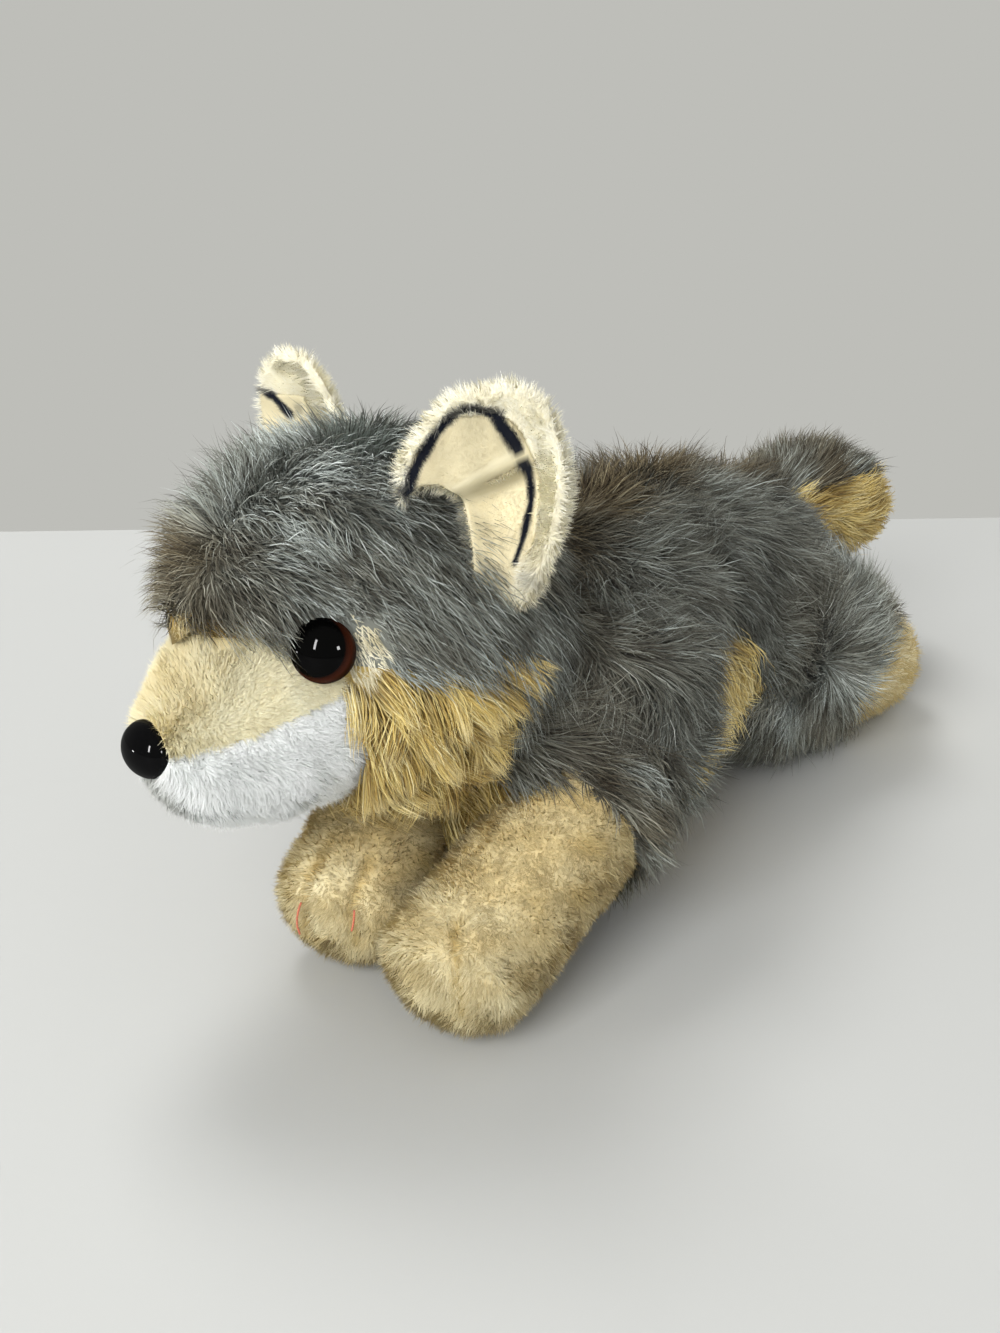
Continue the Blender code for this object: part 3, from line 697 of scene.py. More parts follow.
@dataclass(frozen=True)
class MouldedFinish:
    """Glossy or plain moulded plastic of one colour with fine flow marks."""

    name: str
    colour: Colour
    rough: float
    coat: float = 0.0
    specular: float = 0.3

    def build(self) -> bpy.types.Material:
        """Makes the material."""
        nodes = Nodes(self.name)
        marks = nodes.noise(900.0, 2.0)
        worn = tuple(min(1.0, channel * 1.25 + 0.0005) for channel in self.colour)
        colour = nodes.mix(self.colour, worn, nodes.ramp(marks, [(0.35, grey(0.0)), (0.8, grey(1.0))]))
        nodes.bump(marks, 0.05, 0.0001)
        return nodes.wear(colour, Roughness=self.rough, Specular_IOR_Level=self.specular,
                          Coat_Weight=self.coat, Coat_Roughness=0.05)


@dataclass(frozen=True)
class EyeFinish:
    """A dark brown iris round a wide black pupil under a clear glossy skin."""

    name: str = "eye_gloss"
    pupil_off: tuple[float, float] = (-0.8, 1.2)
    pupil: float = 6.45
    iris: Colour = paint(60, 27, 15)
    dark: Colour = paint(3, 3, 3)
    span: float = 10.0

    def build(self) -> bpy.types.Material:
        """Makes the material."""
        nodes = Nodes(self.name)
        read = nodes.add("ShaderNodeAttribute")
        read.attribute_name = "place"
        shifted = nodes.vector("SUBTRACT", read.outputs["Vector"], (*self.pupil_off, 0.0))
        flat = nodes.vector("MULTIPLY", shifted.outputs["Vector"], (1.0, 1.0, 0.0))
        reach = nodes.vector("LENGTH", flat.outputs["Vector"], (0.0, 0.0, 0.0))
        share = nodes.maths("DIVIDE", reach.outputs["Value"], self.span)
        edge = self.pupil / self.span
        stops = [
            (edge - 0.01, self.dark),
            (edge + 0.03, tuple(channel * 0.5 for channel in self.iris)),
            (edge + 0.11, self.iris),
            (edge + 0.19, tuple(channel * 0.35 for channel in self.iris)),
        ]
        return nodes.wear(nodes.ramp(share, stops), Roughness=0.5, Specular_IOR_Level=0.0, Coat_Weight=0.12,
                          Coat_Roughness=0.03)


@dataclass(frozen=True)
class ThreadFinish:
    """Sewing thread with a fine twist."""

    name: str
    colour: Colour

    def build(self) -> bpy.types.Material:
        """Makes the material."""
        nodes = Nodes(self.name)
        twist = nodes.noise(2600.0, 1.0)
        dark = tuple(channel * 0.6 for channel in self.colour)
        colour = nodes.mix(dark, self.colour, nodes.ramp(twist, [(0.35, grey(0.0)), (0.6, grey(1.0))]))
        nodes.bump(twist, 0.4, 0.0002)
        return nodes.wear(colour, Roughness=0.6, Sheen_Weight=0.2)


def linked(name: str, data: bpy.types.ID) -> bpy.types.Object:
    """Adds an object for some data to the scene."""
    item = bpy.data.objects.new(name, data)
    bpy.context.scene.collection.objects.link(item)
    return item


def tree_of(points: Array) -> KDTree:
    """A tree that finds the nearest of some points."""
    tree = KDTree(len(points))
    for index, place in enumerate(points):
        tree.insert(place, index)
    tree.balance()
    return tree


def keep_mesh(name: str, mesh: bmesh.types.BMesh, *materials: bpy.types.Material) -> bpy.types.Object:
    """Writes a bmesh in millimetres to an object that sits at the origin.

    Args:
        name: The piece's name.
        mesh: Its shape, which is freed.
        materials: Its materials in order.

    Returns:
        The new object.
    """
    bmesh.ops.scale(mesh, vec=(MM, MM, MM), verts=mesh.verts)
    data = bpy.data.meshes.new(name)
    mesh.to_mesh(data)
    mesh.free()
    for material in materials:
        data.materials.append(material)
    data.shade_smooth()
    return linked(name, data)


def settle(piece: bpy.types.Object, slot: str, *nodes: str) -> bpy.types.Object:
    """Ties a piece to the wolf's body and hides the solids that it stands for."""
    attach(piece, "root")
    if nodes:
        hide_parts(*nodes)
    LOG.info("%s: %d faces", piece.name, len(piece.data.polygons))
    return piece


def mark_pile(data: bpy.types.Mesh, values: Array) -> None:
    """Writes the four pile channels to a mesh's points."""
    layer = data.color_attributes.new("pile", "FLOAT_COLOR", "POINT")
    layer.data.foreach_set("color", np.ascontiguousarray(values, dtype=np.float32).ravel())


def places_of(data: bpy.types.Mesh) -> tuple[Array, Array]:
    """A mesh's points in millimetres and their normals."""
    count = len(data.vertices)
    points = np.empty(count * 3, dtype=np.float32)
    normals = np.empty(count * 3, dtype=np.float32)
    data.vertices.foreach_get("co", points)
    data.vertices.foreach_get("normal", normals)
    return points.reshape(-1, 3).astype(float) / MM, normals.reshape(-1, 3).astype(float)


@dataclass(frozen=True)
class Pile:
    """How the pile of one cloth grows and lies.

    Attributes:
        length: Length of a strand in millimetres.
        width: Width of a strand at its root.
        root_lift: How steeply a strand leaves the cloth, in degrees.
        tip_lift: How steeply it ends.
        spread: How much the lengths differ.
        bends: Number of straight lengths in a strand.
        wander: How far strands turn off the way they are combed, in degrees.
        swirl: How far whole patches turn off it, in degrees.
        swirl_span: The size of those patches.
        lock: Share of the strands that lead a lock.
        pull: How far the tips of a lock close up.
        curl: How far a strand strays to the side at its tip.
        droop: How far the tip sinks under its weight.
        soft: How far a strand is shaded as the cloth under it.
    """

    length: float
    width: float
    root_lift: float
    tip_lift: float
    spread: float = 0.2
    bends: int = 1
    wander: float = 14.0
    swirl: float = 12.0
    swirl_span: float = 26.0
    lock: float = 0.05
    pull: float = 0.4
    curl: float = 0.8
    droop: float = 0.0
    soft: float = 0.35

    def paths(self, roots: Array, normals: Array, comb: Field, size: Array, rise: Array,
              form: Form | None, seed: int) -> Array:
        """Grows the strands.

        Args:
            roots: Where the strands leave the cloth.
            normals: The cloth's outward directions there.
            comb: Gives the way that the cloth is combed at any place.
            size: How long each strand is against the pile's own length.
            rise: How much more steeply each strand stands, in degrees.
            form: The form that the strands lie on, if they are long enough to follow it.
            seed: Chooses the strands' small differences.

        Returns:
            The points of each strand from root to tip.
        """
        chance = np.random.default_rng(seed)
        count = len(roots)
        varied = np.clip(1.0 + self.spread * chance.standard_normal(count), 0.4, 1.7)
        lengths = self.length * size * varied
        step = (lengths / self.bends)[:, None]
        angle = self.swirl * drift(roots, self.swirl_span, seed + 1)
        angle = angle + self.wander * chance.standard_normal(count)
        angle = np.radians(angle * (1.0 + np.abs(rise) / 25.0))[:, None]
        heading = along_surface(comb(roots), normals)
        heading = heading * np.cos(angle) + np.cross(normals, heading) * np.sin(angle)
        lean = 8.0 * chance.standard_normal(count) + 6.0 * drift(roots, 14.0, seed + 2) + rise
        here, up = roots, normals
        path = [here]
        for bend in range(self.bends):
            share = bend / max(self.bends - 1, 1)
            lift = np.radians(self.root_lift + (self.tip_lift - self.root_lift) * share + lean)[:, None]
            forward = heading * np.cos(lift) + up * np.sin(lift)
            forward[:, 2] -= self.droop * share
            here = here + unit(forward) * step
            path.append(here)
            if form is not None:
                up = form.normals(here)
                heading = along_surface(heading, up)
        path = np.stack(path, axis=1)
        shares = np.linspace(0.0, 1.0, self.bends + 1)[None, :, None]
        if self.pull > 0.0:
            leaders = chance.choice(count, size=max(1, int(count * self.lock)), replace=False)
            tree = tree_of(roots[leaders])
            owner = leaders[[tree.find(root)[1] for root in roots]]
            pull = self.pull * chance.uniform(0.5, 1.1, count)[:, None, None]
            path += (path[owner] - path) * pull * shares**1.5
        path += chance.standard_normal((count, 1, 3)) * self.curl * shares**2
        arch = chance.standard_normal((count, 1, 3)) * self.curl * 0.35
        path += arch * np.sin(math.pi * shares)
        path[:, :, 2] = np.maximum(path[:, :, 2], 0.3 + 0.5 * chance.random((count, 1)))
        return path


def ribbons(name: str, paths: Array, normals: Array, width: Array, channels: Array, seed: int,
            soft: float, material: bpy.types.Material) -> bpy.types.Object:
    """Writes strands as tapering ribbons that face away from the cloth.

    No operator draws strands, so their points and faces are counted out here.

    Args:
        name: The piece's name.
        paths: The points of each strand.
        normals: The cloth's outward direction at each root.
        width: Width of each strand at its root.
        channels: Tone, shade and ink of each strand.
        seed: Chooses how far each ribbon rolls.
        soft: How far a ribbon is shaded as the cloth under it, as light spreads inside real pile.
        material: The pile's material.

    Returns:
        The new object.
    """
    count, stops, _ = paths.shape
    bends = stops - 1
    chance = np.random.default_rng(seed)
    run = np.diff(paths, axis=1)
    side = unit(np.cross(run, normals[:, None, :]))
    roll = (0.45 * chance.standard_normal(count))[:, None, None]
    side = unit(side * np.cos(roll) + normals[:, None, :] * np.sin(roll))
    taper = 1.0 - (np.arange(bends) / bends) ** 1.6 * 0.75
    half = side * (width[:, None] * taper[None, :] / 2.0)[:, :, None]
    points = np.empty((count, 2 * bends + 1, 3))
    points[:, 0:2 * bends:2] = paths[:, :bends] - half
    points[:, 1:2 * bends:2] = paths[:, :bends] + half
    points[:, -1] = paths[:, -1]
    faces = []
    for bend in range(bends - 1):
        base = 2 * bend
        faces += [(base, base + 1, base + 3), (base, base + 3, base + 2)]
    faces.append((2 * bends - 2, 2 * bends - 1, 2 * bends))
    index = (np.array(faces)[None] + (np.arange(count) * (2 * bends + 1))[:, None, None]).reshape(-1, 3)
    along = np.append(np.repeat(np.arange(bends) / bends, 2), 1.0)
    values = np.empty((count, 2 * bends + 1, 4))
    values[:, :, 0] = along[None, :]
    values[:, :, 1:] = channels[:, None, :]
    data = bpy.data.meshes.new(name)
    data.vertices.add(count * (2 * bends + 1))
    data.vertices.foreach_set("co", (points * MM).astype(np.float32).ravel())
    data.loops.add(index.size)
    data.loops.foreach_set("vertex_index", index.astype(np.int32).ravel())
    data.polygons.add(len(index))
    data.polygons.foreach_set("loop_start", np.arange(0, index.size, 3, dtype=np.int32))
    data.update(calc_edges=True)
    data.shade_smooth()
    faced = unit(np.cross(side, run))
    faced = np.concatenate([np.repeat(faced, 2, axis=1), faced[:, -1:]], axis=1)
    faced = unit(faced * (1.0 - soft) + normals[:, None, :] * soft)
    data.normals_split_custom_set_from_vertices(faced.reshape(-1, 3).astype(np.float32))
    mark_pile(data, values)
    data.materials.append(material)
    return linked(name, data)


def scatter(skin: bpy.types.Object, count: int, keep: Field, seed: int) -> tuple[Array, Array]:
    """Picks roots evenly over a skin.

    Args:
        skin: The skin that the pile grows on.
        count: How many roots are wanted.
        keep: Tells which places carry this pile.
        seed: Chooses the places.

    Returns:
        The roots in millimetres and the outward directions there.
    """
    data = skin.data
    points, normals = places_of(data)
    data.calc_loop_triangles()
    corners = np.empty(len(data.loop_triangles) * 3, dtype=np.int32)
    data.loop_triangles.foreach_get("vertices", corners)
    corners = corners.reshape(-1, 3)
    first, second, third = (points[corners[:, i]] for i in range(3))
    area = np.linalg.norm(np.cross(second - first, third - first), axis=1)
    chance = np.random.default_rng(seed)
    found_at, found_up, total = [], [], 0
    for _ in range(12):
        pick = chance.choice(len(corners), size=count * 2, p=area / area.sum())
        share = chance.dirichlet((1.0, 1.0, 1.0), size=len(pick))[:, :, None]
        at = (points[corners[pick]] * share).sum(axis=1)
        up = unit((normals[corners[pick]] * share).sum(axis=1))
        good = keep(at)
        found_at.append(at[good])
        found_up.append(up[good])
        total += int(good.sum())
        if total >= count:
            break
    return np.concatenate(found_at)[:count], np.concatenate(found_up)[:count]


@dataclass
class Coat:
    """One cloth's pile on a skin: where it grows, how it is combed and how it is coloured.

    Its fields give, at any place, whether the pile grows there, its comb, how long it is against its
    own length, how many degrees it rises, its shade and its ink, and how much paler it is.
    """

    name: str
    finish: PileFinish
    pile: Pile
    count: int
    keep: Field
    comb: Field
    size: Field = lambda points: np.ones(len(points))
    rise: Field = lambda points: np.zeros(len(points))
    shade: Field = lambda points: np.zeros(len(points))
    ink: Field = lambda points: np.zeros(len(points))
    pale: Field = lambda points: np.zeros(len(points))
    tone: float = 0.5
    tone_spread: float = 0.2
    guard: float = 0.0
    guard_size: float = 1.3
    seed: int = 1

    def grow(self, skin: bpy.types.Object, form: Form | None,
             material: bpy.types.Material) -> bpy.types.Object:
        """Grows the pile.

        Args:
            skin: The skin under it.
            form: The form that long strands follow.
            material: The pile's material.

        Returns:
            The pile as one piece.
        """
        roots, normals = scatter(skin, self.count, self.keep, self.seed)
        chance = np.random.default_rng(self.seed + 5)
        count = len(roots)
        tone = self.tone + self.tone_spread * chance.standard_normal(count)
        tone += 0.5 * self.tone_spread * drift(roots, 9.0, self.seed + 6) + self.pale(roots)
        size = self.size(roots)
        width = self.pile.width * chance.uniform(0.7, 1.2, count)
        guard = chance.random(count) < self.guard
        tone = np.where(guard, 0.04, tone)
        size = np.where(guard, size * self.guard_size, size)
        width = np.where(guard, width * 0.6, width)
        paths = self.pile.paths(roots, normals, self.comb, size, self.rise(roots), form, self.seed + 7)
        channels = np.stack([np.clip(tone, 0.0, 1.0), self.shade(roots), self.ink(roots)], axis=1)
        piece = ribbons(self.name, paths, normals, width, channels, self.seed + 8, self.pile.soft, material)
        return settle(piece, self.finish.slot)


@dataclass
class Finishes:
    """Every material of the wolf, made once."""

    made: dict[str, bpy.types.Material] = field(default_factory=dict)

    def __call__(self, finish: PileFinish | MouldedFinish | EyeFinish | ThreadFinish) -> bpy.types.Material:
        """Gives a finish's material."""
        if finish.name not in self.made:
            self.made[finish.name] = finish.build()
        return self.made[finish.name]


def toward(x: float, y: float, z: float) -> Field:
    """A comb that points the same way everywhere."""
    way = np.array([x, y, z], dtype=float)
    return lambda points: np.tile(way, (len(points), 1))


def outward(centre: tuple[float, float, float], frame: Array, sink: float = 0.0) -> Field:
    """A comb that runs away from a whorl.

    Args:
        centre: The whorl in its frame.
        frame: That frame.
        sink: How far the strands also turn down.

    Returns:
        The comb.
    """
    middle = moved(np.array([centre]), frame)[0]

    def comb(points: Array) -> Array:
        """Points away from the whorl, and down by the sink."""
        way = unit(points - middle)
        way[:, 2] -= sink
        return way

    return comb


def skin_of(name: str, form: Form, inset: float, materials: list[bpy.types.Material], around: int = 56,
            rings: int = 44, shape: Field | None = None) -> bpy.types.Object:
    """Makes the skin of one stuffed piece.

    Args:
        name: The piece's name.
        form: Its form.
        inset: How far it lies under the form.
        materials: Its materials.
        around: Columns round it.
        rings: Rings along it.
        shape: Moves the skin's points where it is creased.

    Returns:
        The skin, marked as root-coloured cloth.
    """
    mesh = form.skin(inset, around, rings)
    places = np.array([vert.co for vert in mesh.verts])
    if shape is not None:
        places = shape(places)
    places[:, 2] = np.maximum(places[:, 2], 0.7)
    for vert, place in zip(mesh.verts, places):
        vert.co = place
    piece = keep_mesh(name, mesh, *materials)
    values = np.tile(SKIN_CHANNELS, (len(piece.data.vertices), 1))
    mark_pile(piece.data, values)
    return piece


def shade_skin(skin: bpy.types.Object, shade: Field) -> None:
    """Writes a cloth's shade to its skin too."""
    points, _ = places_of(skin.data)
    values = np.tile(SKIN_CHANNELS, (len(points), 1))
    values[:, 2] = shade(points)
    skin.data.color_attributes["pile"].data.foreach_set("color", values.astype(np.float32).ravel())


def sort_faces(skin: bpy.types.Object, second: Field) -> None:
    """Gives the faces of a region the skin's second material."""
    centres = np.empty(len(skin.data.polygons) * 3, dtype=np.float32)
    skin.data.polygons.foreach_get("center", centres)
    chosen = second(centres.reshape(-1, 3).astype(float) / MM)
    skin.data.polygons.foreach_set("material_index", chosen.astype(np.int32))


@dataclass(frozen=True)
class Gloss:
    """A place on a moulded piece that mirrors a small lamp, in metres."""

    place: Array
    normal: Array
    size: tuple[float, float]


@dataclass
class Head:
    """The head: crown, cheeks, muzzle, chin, eyes and nose."""

    finishes: Finishes
    glosses: list[Gloss] = field(default_factory=list)
    parting_front: tuple[float, float, float] = (3.0, -38.0, 25.0)
    parting_back: tuple[float, float, float] = (0.0, 22.0, 42.0)
    brow_at: tuple[float, ...] = (0.0, 14.0, 22.0, 28.0, 34.0)
    brow: tuple[float, ...] = (10.0, 7.0, 0.5, -4.0, -8.0)
    jaw_at: tuple[float, ...] = (-60.0, -40.0, -20.0)
    jaw: tuple[float, ...] = (-20.0, -15.5, -9.5)
    snout: tuple[float, float, float] = (0.0, -62.0, -16.0)
    ear_root: tuple[float, float, float] = (37.0, 4.0, 25.0)
    ear_heart: tuple[float, float, float] = (45.0, 8.0, 25.0)
    cheek_top: float = -5.0
    cheek_nape: float = 29.0
    eye_at: tuple[float, float, float] = (27.0, -24.5, 0.5)
    eye_radius: float = 7.3
    eye_dome: float = 5.2
    eye_out: float = 50.0
    eye_lift: float = 8.0
    patch_at: tuple[float, float, float] = (32.0, -18.5, -1.5)
    patch_radius: float = 5.6
    nose_at: tuple[float, float, float] = (0.0, -57.0, -19.0)
    nose_half_width: float = 8.5
    nose_half_height: float = 6.8
    nose_dome: float = 6.0

    def is_cheek(self, points: Array) -> Array:
        """Tells which places are under the crown's lower seam."""
        own = into(points, HEAD)
        stops = (-200.0, self.cheek_nape / 2, self.cheek_nape)
        line = np.interp(own[:, 1], stops, (self.cheek_top, self.cheek_top, -100.0))
        return own[:, 2] + 1.2 * drift(points, 7.0, 3) < line

    def folded(self, points: Array) -> Array:
        """Places in the head's own frame, with the right side laid on the left."""
        own = into(points, HEAD)
        own[:, 0] = np.abs(own[:, 0])
        return own

    def off_eye(self, points: Array) -> Array:
        """How far each place is from the nearer eye."""
        return np.linalg.norm(self.folded(points) - self.eye_at, axis=1)

    def off_patch(self, points: Array) -> Array:
        """How far each place is from the middle of the nearer patch behind an eye."""
        return np.linalg.norm((self.folded(points) - self.patch_at) / (1.0, 1.0, 1.5), axis=1)

    def in_patch(self, points: Array) -> Array:
        """Tells which places carry the short patch behind either eye."""
        return self.off_patch(points) < self.patch_radius + 0.5 * drift(points, 5.0, 8)

    def from_parting(self, points: Array) -> Array:
        """The way from the crown's parting to each place, in the head's own frame."""
        own = into(points, HEAD)
        front, back = np.array(self.parting_front), np.array(self.parting_back)
        along = (own - front) @ (back - front) / np.sum((back - front) ** 2)
        return own - front - np.clip(along, 0.0, 1.0)[:, None] * (back - front)

    def open_air(self, points: Array) -> Array:
        """Tells which places of the head are outside the muzzle and the body."""
        return FORMS["muzzle"].clears(points, -2.0) & FORMS["body"].clears(points, -9.0)

    def brow_line(self, own: Array) -> Array:
        """The height of the forehead's lower edge at each place of the head's own frame."""
        return np.interp(np.abs(own[:, 0]), self.brow_at, self.brow)

    def jaw_line(self, own: Array) -> Array:
        """The height of the jaw seam at each place of the head's own frame."""
        return np.interp(own[:, 1], self.jaw_at, self.jaw)

    def by_ear(self, own: Array) -> Array:
        """How near each place of the head's own frame is to the left ear's root."""
        return bell(np.linalg.norm(own - self.ear_root, axis=1), 9.0)

    def over_muzzle(self, points: Array) -> Array:
        """Tells which places are so low on the forehead that fur there would hide the muzzle."""
        own = into(points, HEAD)
        return (own[:, 1] < -20.0) & (own[:, 2] + 1.0 * drift(points, 6.0, 5) < self.brow_line(own))

    def crown_size(self, points: Array) -> Array:
        """The crown's pile is shorter round the eyes and over the muzzle."""
        own = into(points, HEAD)
        inner = step_down(np.abs(own[:, 0]), 18.0, 25.0)
        beside = 0.4 + 0.6 * step_up(self.off_eye(points), 8.0, 24.0)
        beside = np.maximum(beside, 0.8 * inner)
        front = step_up(-own[:, 1], 32.0, 44.0) * step_down(own[:, 2], 24.0, 38.0)
        by_patch = bell(self.off_patch(points) - 6.0, 5.0)
        top = step_up(own[:, 2], 28.0, 42.0)
        short = beside * (1.0 - 0.4 * front) * (1.0 - 0.55 * self.by_ear(own))
        return short * (1.0 - 0.5 * by_patch) * (1.0 - 0.2 * top)

    def press(self, points: Array) -> Array:
        """Presses the skin in where the left ear's hollow and the top of the muzzle meet it."""
        own = into(points, HEAD)
        depth = 6.0 * self.by_ear(own)
        line = self.brow_line(own)
        depth += 4.5 * step_up(-own[:, 1], 22.0, 32.0) * step_down(own[:, 2], line - 1.0, line + 7.0)
        return points - FORMS["head"].normals(points) * depth[:, None]

    def crown_rise(self, points: Array) -> Array:
        """The crown's pile stands up at its parting and over the forehead."""
        own = into(points, HEAD)
        off = np.linalg.norm(self.from_parting(points), axis=1)
        brow = step_up(-own[:, 1], 30.0, 44.0) * step_down(own[:, 2], 16.0, 30.0)
        return 8.0 * bell(off, 9.0) + 8.0 * brow

    def crown_comb(self, points: Array) -> Array:
        """The crown is combed to both sides and forward from its parting, and round the eyes."""
        own = into(points, HEAD)
        way = unit(self.from_parting(points))
        way[:, 2] -= 0.1
        eye = np.array(self.eye_at) * np.where(own[:, :1] < 0.0, (-1.0, 1.0, 1.0), (1.0, 1.0, 1.0))
        away = own - eye
        reach = np.linalg.norm(away, axis=1, keepdims=True)
        way += 0.5 * away / np.maximum(reach, 1.0) * bell(reach - 7.0, 6.0)
        away = own - self.ear_heart
        reach = np.linalg.norm(away, axis=1, keepdims=True)
        way += 0.9 * away / np.maximum(reach, 1.0) * bell(reach, 17.0)
        return way @ HEAD[:3, :3].T

    def crown_shade(self, points: Array) -> Array:
        """The crown is browner on the forehead and toward the nape."""
        own = into(points, HEAD)
        front = step_up(-own[:, 1], 24.0, 46.0) * step_up(own[:, 2], -4.0, 12.0)
        back = step_up(own[:, 1], 14.0, 34.0) * step_up(own[:, 2], 10.0, 30.0)
        return np.clip(0.85 * front + 0.4 * back + 0.14 * drift(points, 17.0, 12), 0.0, 1.0)

    def crown_painted_light(self, points: Array) -> Array:
        """Painted light: the crown is paler over its left brow, where its top faces up into the light."""
        own = into(points, HEAD)
        off = np.linalg.norm(own - (13.0, -8.0, 39.0), axis=1)
        return 0.4 * bell(off, 13.0)

    def cheek_shade(self, points: Array) -> Array:
        """The cheeks are darker low down, and in patches."""
        low = step_down(into(points, HEAD)[:, 2], -34.0, -8.0)
        return np.clip(0.16 + 0.6 * low + 0.4 * drift(points, 7.0, 21), 0.0, 1.0)

    def build_skull(self) -> None:
        """The head's skin with the crown's and the cheeks' fur."""
        brindle, tan, beige = (self.finishes(f) for f in (GREY_FUR, TAN_FUR, BEIGE_PLUSH))
        form = FORMS["head"]
        skin = skin_of("head_skin", form, inset=4.6, materials=[brindle, tan], shape=self.press)
        shade_skin(skin, self.crown_shade)
        sort_faces(skin, lambda p: self.is_cheek(p) | self.over_muzzle(p))
        settle(skin, "grey_fur", "head_crown_fur", "cheek_fur_left", "cheek_fur_right", "head_stuffing")
        crown = Coat(
            "crown_fur",
            GREY_FUR,
            Pile(length=13.0, width=0.3, root_lift=54.0, tip_lift=28.0, bends=3, wander=13.0, swirl=10.0,
                 swirl_span=18.0, lock=0.12, pull=0.25, curl=0.6),
            count=31000,
            keep=lambda p: ~self.is_cheek(p) & self.open_air(p) & (self.off_eye(p) > 7.8)
            & (self.off_patch(p) > self.patch_radius + 0.8) & ~self.over_muzzle(p),
            comb=self.crown_comb,
            size=self.crown_size,
            rise=self.crown_rise,
            shade=self.crown_shade,
            # painted light: paler over the left brow, where the crown faces up
            pale=self.crown_painted_light,
            tone=0.35,
            tone_spread=0.22,
            guard=0.045,
            seed=11,
        )
        crown.grow(skin, form, brindle)
        bridge = Coat(
            "bridge_pile",
            BEIGE_PLUSH,
            Pile(length=2.8, width=0.3, root_lift=50.0, tip_lift=30.0, spread=0.22, wander=26.0, lock=0.07,
                 curl=0.3, soft=0.72),
            count=8500,
            keep=lambda p: self.over_muzzle(p) & self.open_air(p) & (self.off_eye(p) > 7.4)
            & ~self.in_patch(p) & ~self.is_cheek(p),
            comb=outward(self.snout, HEAD, 0.15),
            shade=lambda p: np.full(len(p), 0.4),
            seed=45,
        )
        bridge.grow(skin, None, beige)
        for side in Side:
            cheek = Coat(
                f"cheek_fur_{side.word}_pile",
                TAN_FUR,
                Pile(length=17.0, width=0.28, root_lift=36.0, tip_lift=4.0, bends=3, wander=7.0, swirl=26.0,
                     swirl_span=14.0, lock=0.011, pull=0.8, curl=0.45, droop=0.3),
                count=10500 if side is Side.LEFT else 5000,
                keep=lambda p, s=side.value: self.is_cheek(p) & self.open_air(p) & ~self.in_patch(p)
                & (self.off_eye(p) > 9.0) & (into(p, HEAD)[:, 0] * s > -0.5),
                comb=outward((side.value * 24.0, -36.0, 6.0), HEAD, 0.55),
                size=lambda p: 0.6 + 0.4 * step_up(self.off_eye(p), 9.0, 20.0),
                shade=self.cheek_shade,
                tone=0.58,
                tone_spread=0.22,
                guard=0.01,
                seed=31 + int(side.value),
            )
            cheek.grow(skin, form, tan)
        patch = Coat(
            "eye_patch_pile",
            CREAM_PLUSH,
            Pile(length=3.4, width=0.28, root_lift=34.0, tip_lift=30.0, pull=0.3, lock=0.08, curl=0.3,
                 soft=0.8),
            count=2600,
            keep=lambda p: self.in_patch(p) & self.open_air(p) & (self.off_eye(p) > 7.4),
            comb=outward((20.0, -30.0, 6.0), HEAD, 0.4),
            shade=mottled(0.6, 0.3, 6.0, 24),
            tone=0.45,
            seed=41,
        )
        patch.grow(skin, None, self.finishes(CREAM_PLUSH))

    def is_chin(self, points: Array) -> Array:
        """Tells which places are under the jaw seam."""
        own = into(points, HEAD)
        return own[:, 2] < self.jaw_line(own)

    def muzzle_air(self, points: Array) -> Array:
        """Tells which places of the muzzle are outside the head and clear of the nose."""
        own = into(points, HEAD)
        off = (own - self.nose_at) / (self.nose_half_width, 6.0, self.nose_half_height)
        return FORMS["head"].clears(points, -8.0) & (np.linalg.norm(off, axis=1) > 0.98)

    def bridge_shade(self, points: Array) -> Array:
        """The muzzle is tan along its bridge and paler toward the cheeks."""
        own = into(points, HEAD)
        ridge = bell(own[:, 0], 13.0) * step_up(own[:, 2], -16.0, 0.0)
        front = step_up(-own[:, 1], 42.0, 58.0)
        return np.clip(0.05 + 0.42 * ridge + 0.2 * front + 0.06 * drift(points, 10.0, 51), 0.0, 1.0)

    def chin_shade(self, points: Array) -> Array:
        """The chin is greyer right under the nose."""
        own = into(points, HEAD)
        spot = np.linalg.norm(own - (0.0, -56.0, -30.0), axis=1)
        return np.clip(0.9 * step_down(spot, 4.0, 10.0) + 0.08 * drift(points, 8.0, 52), 0.0, 1.0)

    def pinch_seam(self, points: Array) -> Array:
        """Draws the muzzle in along the jaw seam."""
        own = into(points, HEAD)
        depth = 1.1 * bell(own[:, 2] - self.jaw_line(own), 1.7)
        return points - FORMS["muzzle"].normals(points) * depth[:, None]

